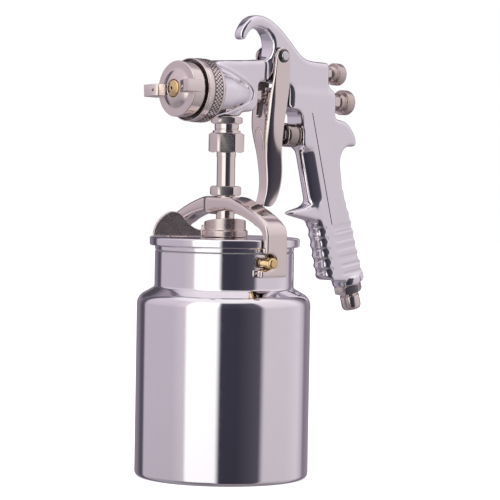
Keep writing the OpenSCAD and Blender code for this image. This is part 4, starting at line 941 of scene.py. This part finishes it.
# Air inlet nipple: hexagon, relief and a smooth end
INLET = GUN @ moved(-109.17, 0, -113) @ rotated(18.8, "Y")
NIPPLE_BORE = 4
NIPPLE_R = 6.6
RELIEF_R = 5.3
END_R = 6.2
nipple_top = [(NIPPLE_BORE, 7.9), (6.4, 7.9), (NIPPLE_R, 7.7), (NIPPLE_R, -7.5)]
smooth_end = [(RELIEF_R, -7.6), (RELIEF_R, -9.2), (6.0, -9.7), (END_R, -10.4), (END_R, -16.4), (6.0, -17.3),
              (5.4, -18.4), (5.1, -18.6), (4.2, -18.6), (NIPPLE_BORE, -18.4), (NIPPLE_BORE, 7.9)]
nipple = lathe("nipple", nipple_top + smooth_end, steps=96)
cut(nipple, nut("flats", -7.6, 5.57, 16, 5, turn=34), "UNION", "MANIFOLD")
nipple.data.transform(INLET)
smooth(nipple, 30)
stands_for(nipple, "air_inlet_nipple", "satin_nickel")

# Floor, sized in metres
bpy.ops.object.select_all(action="DESELECT")
bpy.ops.mesh.primitive_plane_add(size=6, location=(0, 0, 0))
floor = just_added("floor")
floor.visible_glossy = False
pale = bpy.data.materials.new("pale_floor")
pale.use_nodes = True
shader = pale.node_tree.nodes["Principled BSDF"]
shader.inputs["Base Color"].default_value = (0.9, 0.9, 0.9, 1)
shader.inputs["Roughness"].default_value = 0.9
shader.inputs["Emission Color"].default_value = (1, 1, 1, 1)
shader.inputs["Emission Strength"].default_value = 0.62
floor.data.materials.append(pale)

# Room that the metal reflects
world = bpy.data.worlds.new("studio")
bpy.context.scene.world = world
world.use_nodes = True
room_tree = world.node_tree
room_tree.nodes.clear()


def maths(operation, a, b=None):
    """A sum on sockets and numbers."""
    n = add_node(room_tree, "Math", operation=operation)
    for value, socket in zip((a, b), n.inputs):
        if isinstance(value, (int, float)):
            socket.default_value = value
        elif value is not None:
            room_tree.links.new(value, socket)
    return n.outputs[0]


def ramp(fac, stops):
    """Colours that run from stop to stop."""
    n = add_node(room_tree, "ValToRGB")
    n.color_ramp.interpolation = "LINEAR"
    while len(n.color_ramp.elements) < len(stops):
        n.color_ramp.elements.new(0.5)
    for element, (position, colour) in zip(n.color_ramp.elements, stops):
        element.position = position
        element.color = (*colour, 1)
    room_tree.links.new(fac, n.inputs[0])
    return n.outputs[0]


def mix(fac, a, b, blend="MIX"):
    """The colour a with b mixed into it by fac. Here b is a link or a plain colour."""
    inputs = {"Factor": fac, "A": a, "B": (*b, 1) if isinstance(b, tuple) else b}
    return add_node(room_tree, "Mix", inputs, data_type="RGBA", blend_type=blend).outputs["Result"]


def at(angle):
    """An angle round from the camera's side as a place on a ramp."""
    return angle / 360 + 0.5


def grey(value):
    """The same value for all three colours."""
    return value, value, value


CAMERA_SIDE = math.radians(48)
axes = add_node(room_tree, "SeparateXYZ", {"Vector": add_node(room_tree, "TexCoord").outputs["Generated"]})
room_x, room_y, room_z = axes.outputs
rightwards = maths("SUBTRACT", maths("MULTIPLY", room_y, math.cos(CAMERA_SIDE)),
                   maths("MULTIPLY", room_x, math.sin(CAMERA_SIDE)))
towards = maths("ADD", maths("MULTIPLY", room_x, math.cos(CAMERA_SIDE)),
                maths("MULTIPLY", room_y, math.sin(CAMERA_SIDE)))
# Angle round from the camera's side, positive to its right, and height, both as 0 to 1
angle = maths("ARCTAN2", rightwards, towards)
bearing = maths("ADD", maths("DIVIDE", angle, 2 * math.pi), 0.5)
height = maths("ADD", maths("MULTIPLY", room_z, 0.5), 0.5)

# Walls: bright and dark screens side by side, paler upwards
LILAC = (0.56, 0.505, 0.575)
PALE = (0.67, 0.62, 0.665)
BRIGHT = (0.73, 0.685, 0.735)
WHITE = grey(1.25)
SLATE = (0.045, 0.043, 0.062)
SLATE_PALER = (0.095, 0.088, 0.115)
EDGE = (0.24, 0.20, 0.25)
OFF, ON = grey(0), grey(1)
screens = ((-180, (0.35, 0.3, 0.36)), (-148, EDGE), (-138, (0.09, 0.085, 0.11)), (-130, (0.1, 0.09, 0.12)),
           (-125, LILAC), (-70, LILAC), (-52, PALE), (-48, WHITE), (-9, WHITE), (-3, SLATE), (20, SLATE),
           (50, SLATE_PALER), (57, PALE), (95, PALE), (118, BRIGHT), (130, LILAC), (138, EDGE),
           (160, (0.32, 0.28, 0.33)))
walls = ramp(bearing, [(at(a), colour) for a, colour in screens])
fade = ramp(height, [(h, grey(v)) for h, v in ((0, 0.66), (0.22, 0.7), (0.44, 0.97), (0.54, 1), (0.62, 1.14),
                                               (0.8, 1.28))])
# Where the ceiling, the ground, the dark stand at the left and the dark screen behind come in
overhead = ramp(height, [(0, OFF), (0.87, OFF), (0.94, ON), (1, ON)])
below = ramp(height, [(0, ON), (0.1, ON), (0.2, OFF), (1, OFF)])
low = ramp(height, [(0, ON), (0.27, ON), (0.315, OFF), (1, OFF)])
left = ramp(bearing, [(0, OFF), (at(-138), OFF), (at(-132), ON), (at(-72), ON), (at(-60), OFF), (1, OFF)])
lower = ramp(height, [(0, ON), (0.24, ON), (0.285, OFF), (1, OFF)])
ahead = ramp(bearing, [(0, OFF), (at(-76), OFF), (at(-66), ON), (at(-14), ON), (at(-4), OFF), (1, OFF)])
away = maths("DIVIDE", maths("ABSOLUTE", angle), math.pi)
behind = ramp(away, [(0, OFF), (0.78, OFF), (0.84, ON), (1, ON)])
raised = ramp(height, [(0, OFF), (0.57, OFF), (0.63, ON), (0.72, ON), (0.8, OFF), (1, OFF)])
room = mix(1.0, walls, fade, "MULTIPLY")
room = mix(overhead, room, (1.0, 0.97, 1.0))
room = mix(below, room, (0.28, 0.25, 0.27))
room = mix(maths("MULTIPLY", low, left), room, (0.34, 0.315, 0.37))
room = mix(maths("MULTIPLY", lower, ahead), room, (0.19, 0.18, 0.215))
room = mix(maths("MULTIPLY", behind, raised), room, (0.08, 0.075, 0.095))
# The camera itself sees plain white
seen = mix(add_node(room_tree, "LightPath").outputs["Is Camera Ray"], room, grey(1.0))
background = add_node(room_tree, "Background", {"Color": seen})
add_node(room_tree, "OutputWorld", {"Surface": background.outputs[0]})

# Lamp, placed in metres
bpy.ops.object.light_add(type="AREA", location=(0.35, 0.55, 1.1))
lamp = just_added("soft_top")
lamp.data.size = 0.9
lamp.data.energy = 6
lamp.rotation_euler = (Vector((0, 0, 0.12)) - lamp.location).to_track_quat("-Z", "Y").to_euler()
lamp.visible_glossy = False

# Camera, placed in metres and rolled a little as in the photo
CAMERA_ROLL = math.radians(1.0)
look_at = Vector((-0.01152, 0.01037, 0.1385))
bpy.ops.object.camera_add(location=(1.0037, 1.1147, 0.2))
camera = bpy.context.object
aim = (look_at - camera.location).to_track_quat("-Z", "Y").to_matrix()
camera.rotation_euler = (aim @ Matrix.Rotation(CAMERA_ROLL, 3, "Z")).to_euler()
camera.data.sensor_width = 36
camera.data.lens = 177.2
camera.data.clip_start = 0.05
bpy.context.scene.camera = camera
bpy.context.scene.view_settings.view_transform = "Standard"
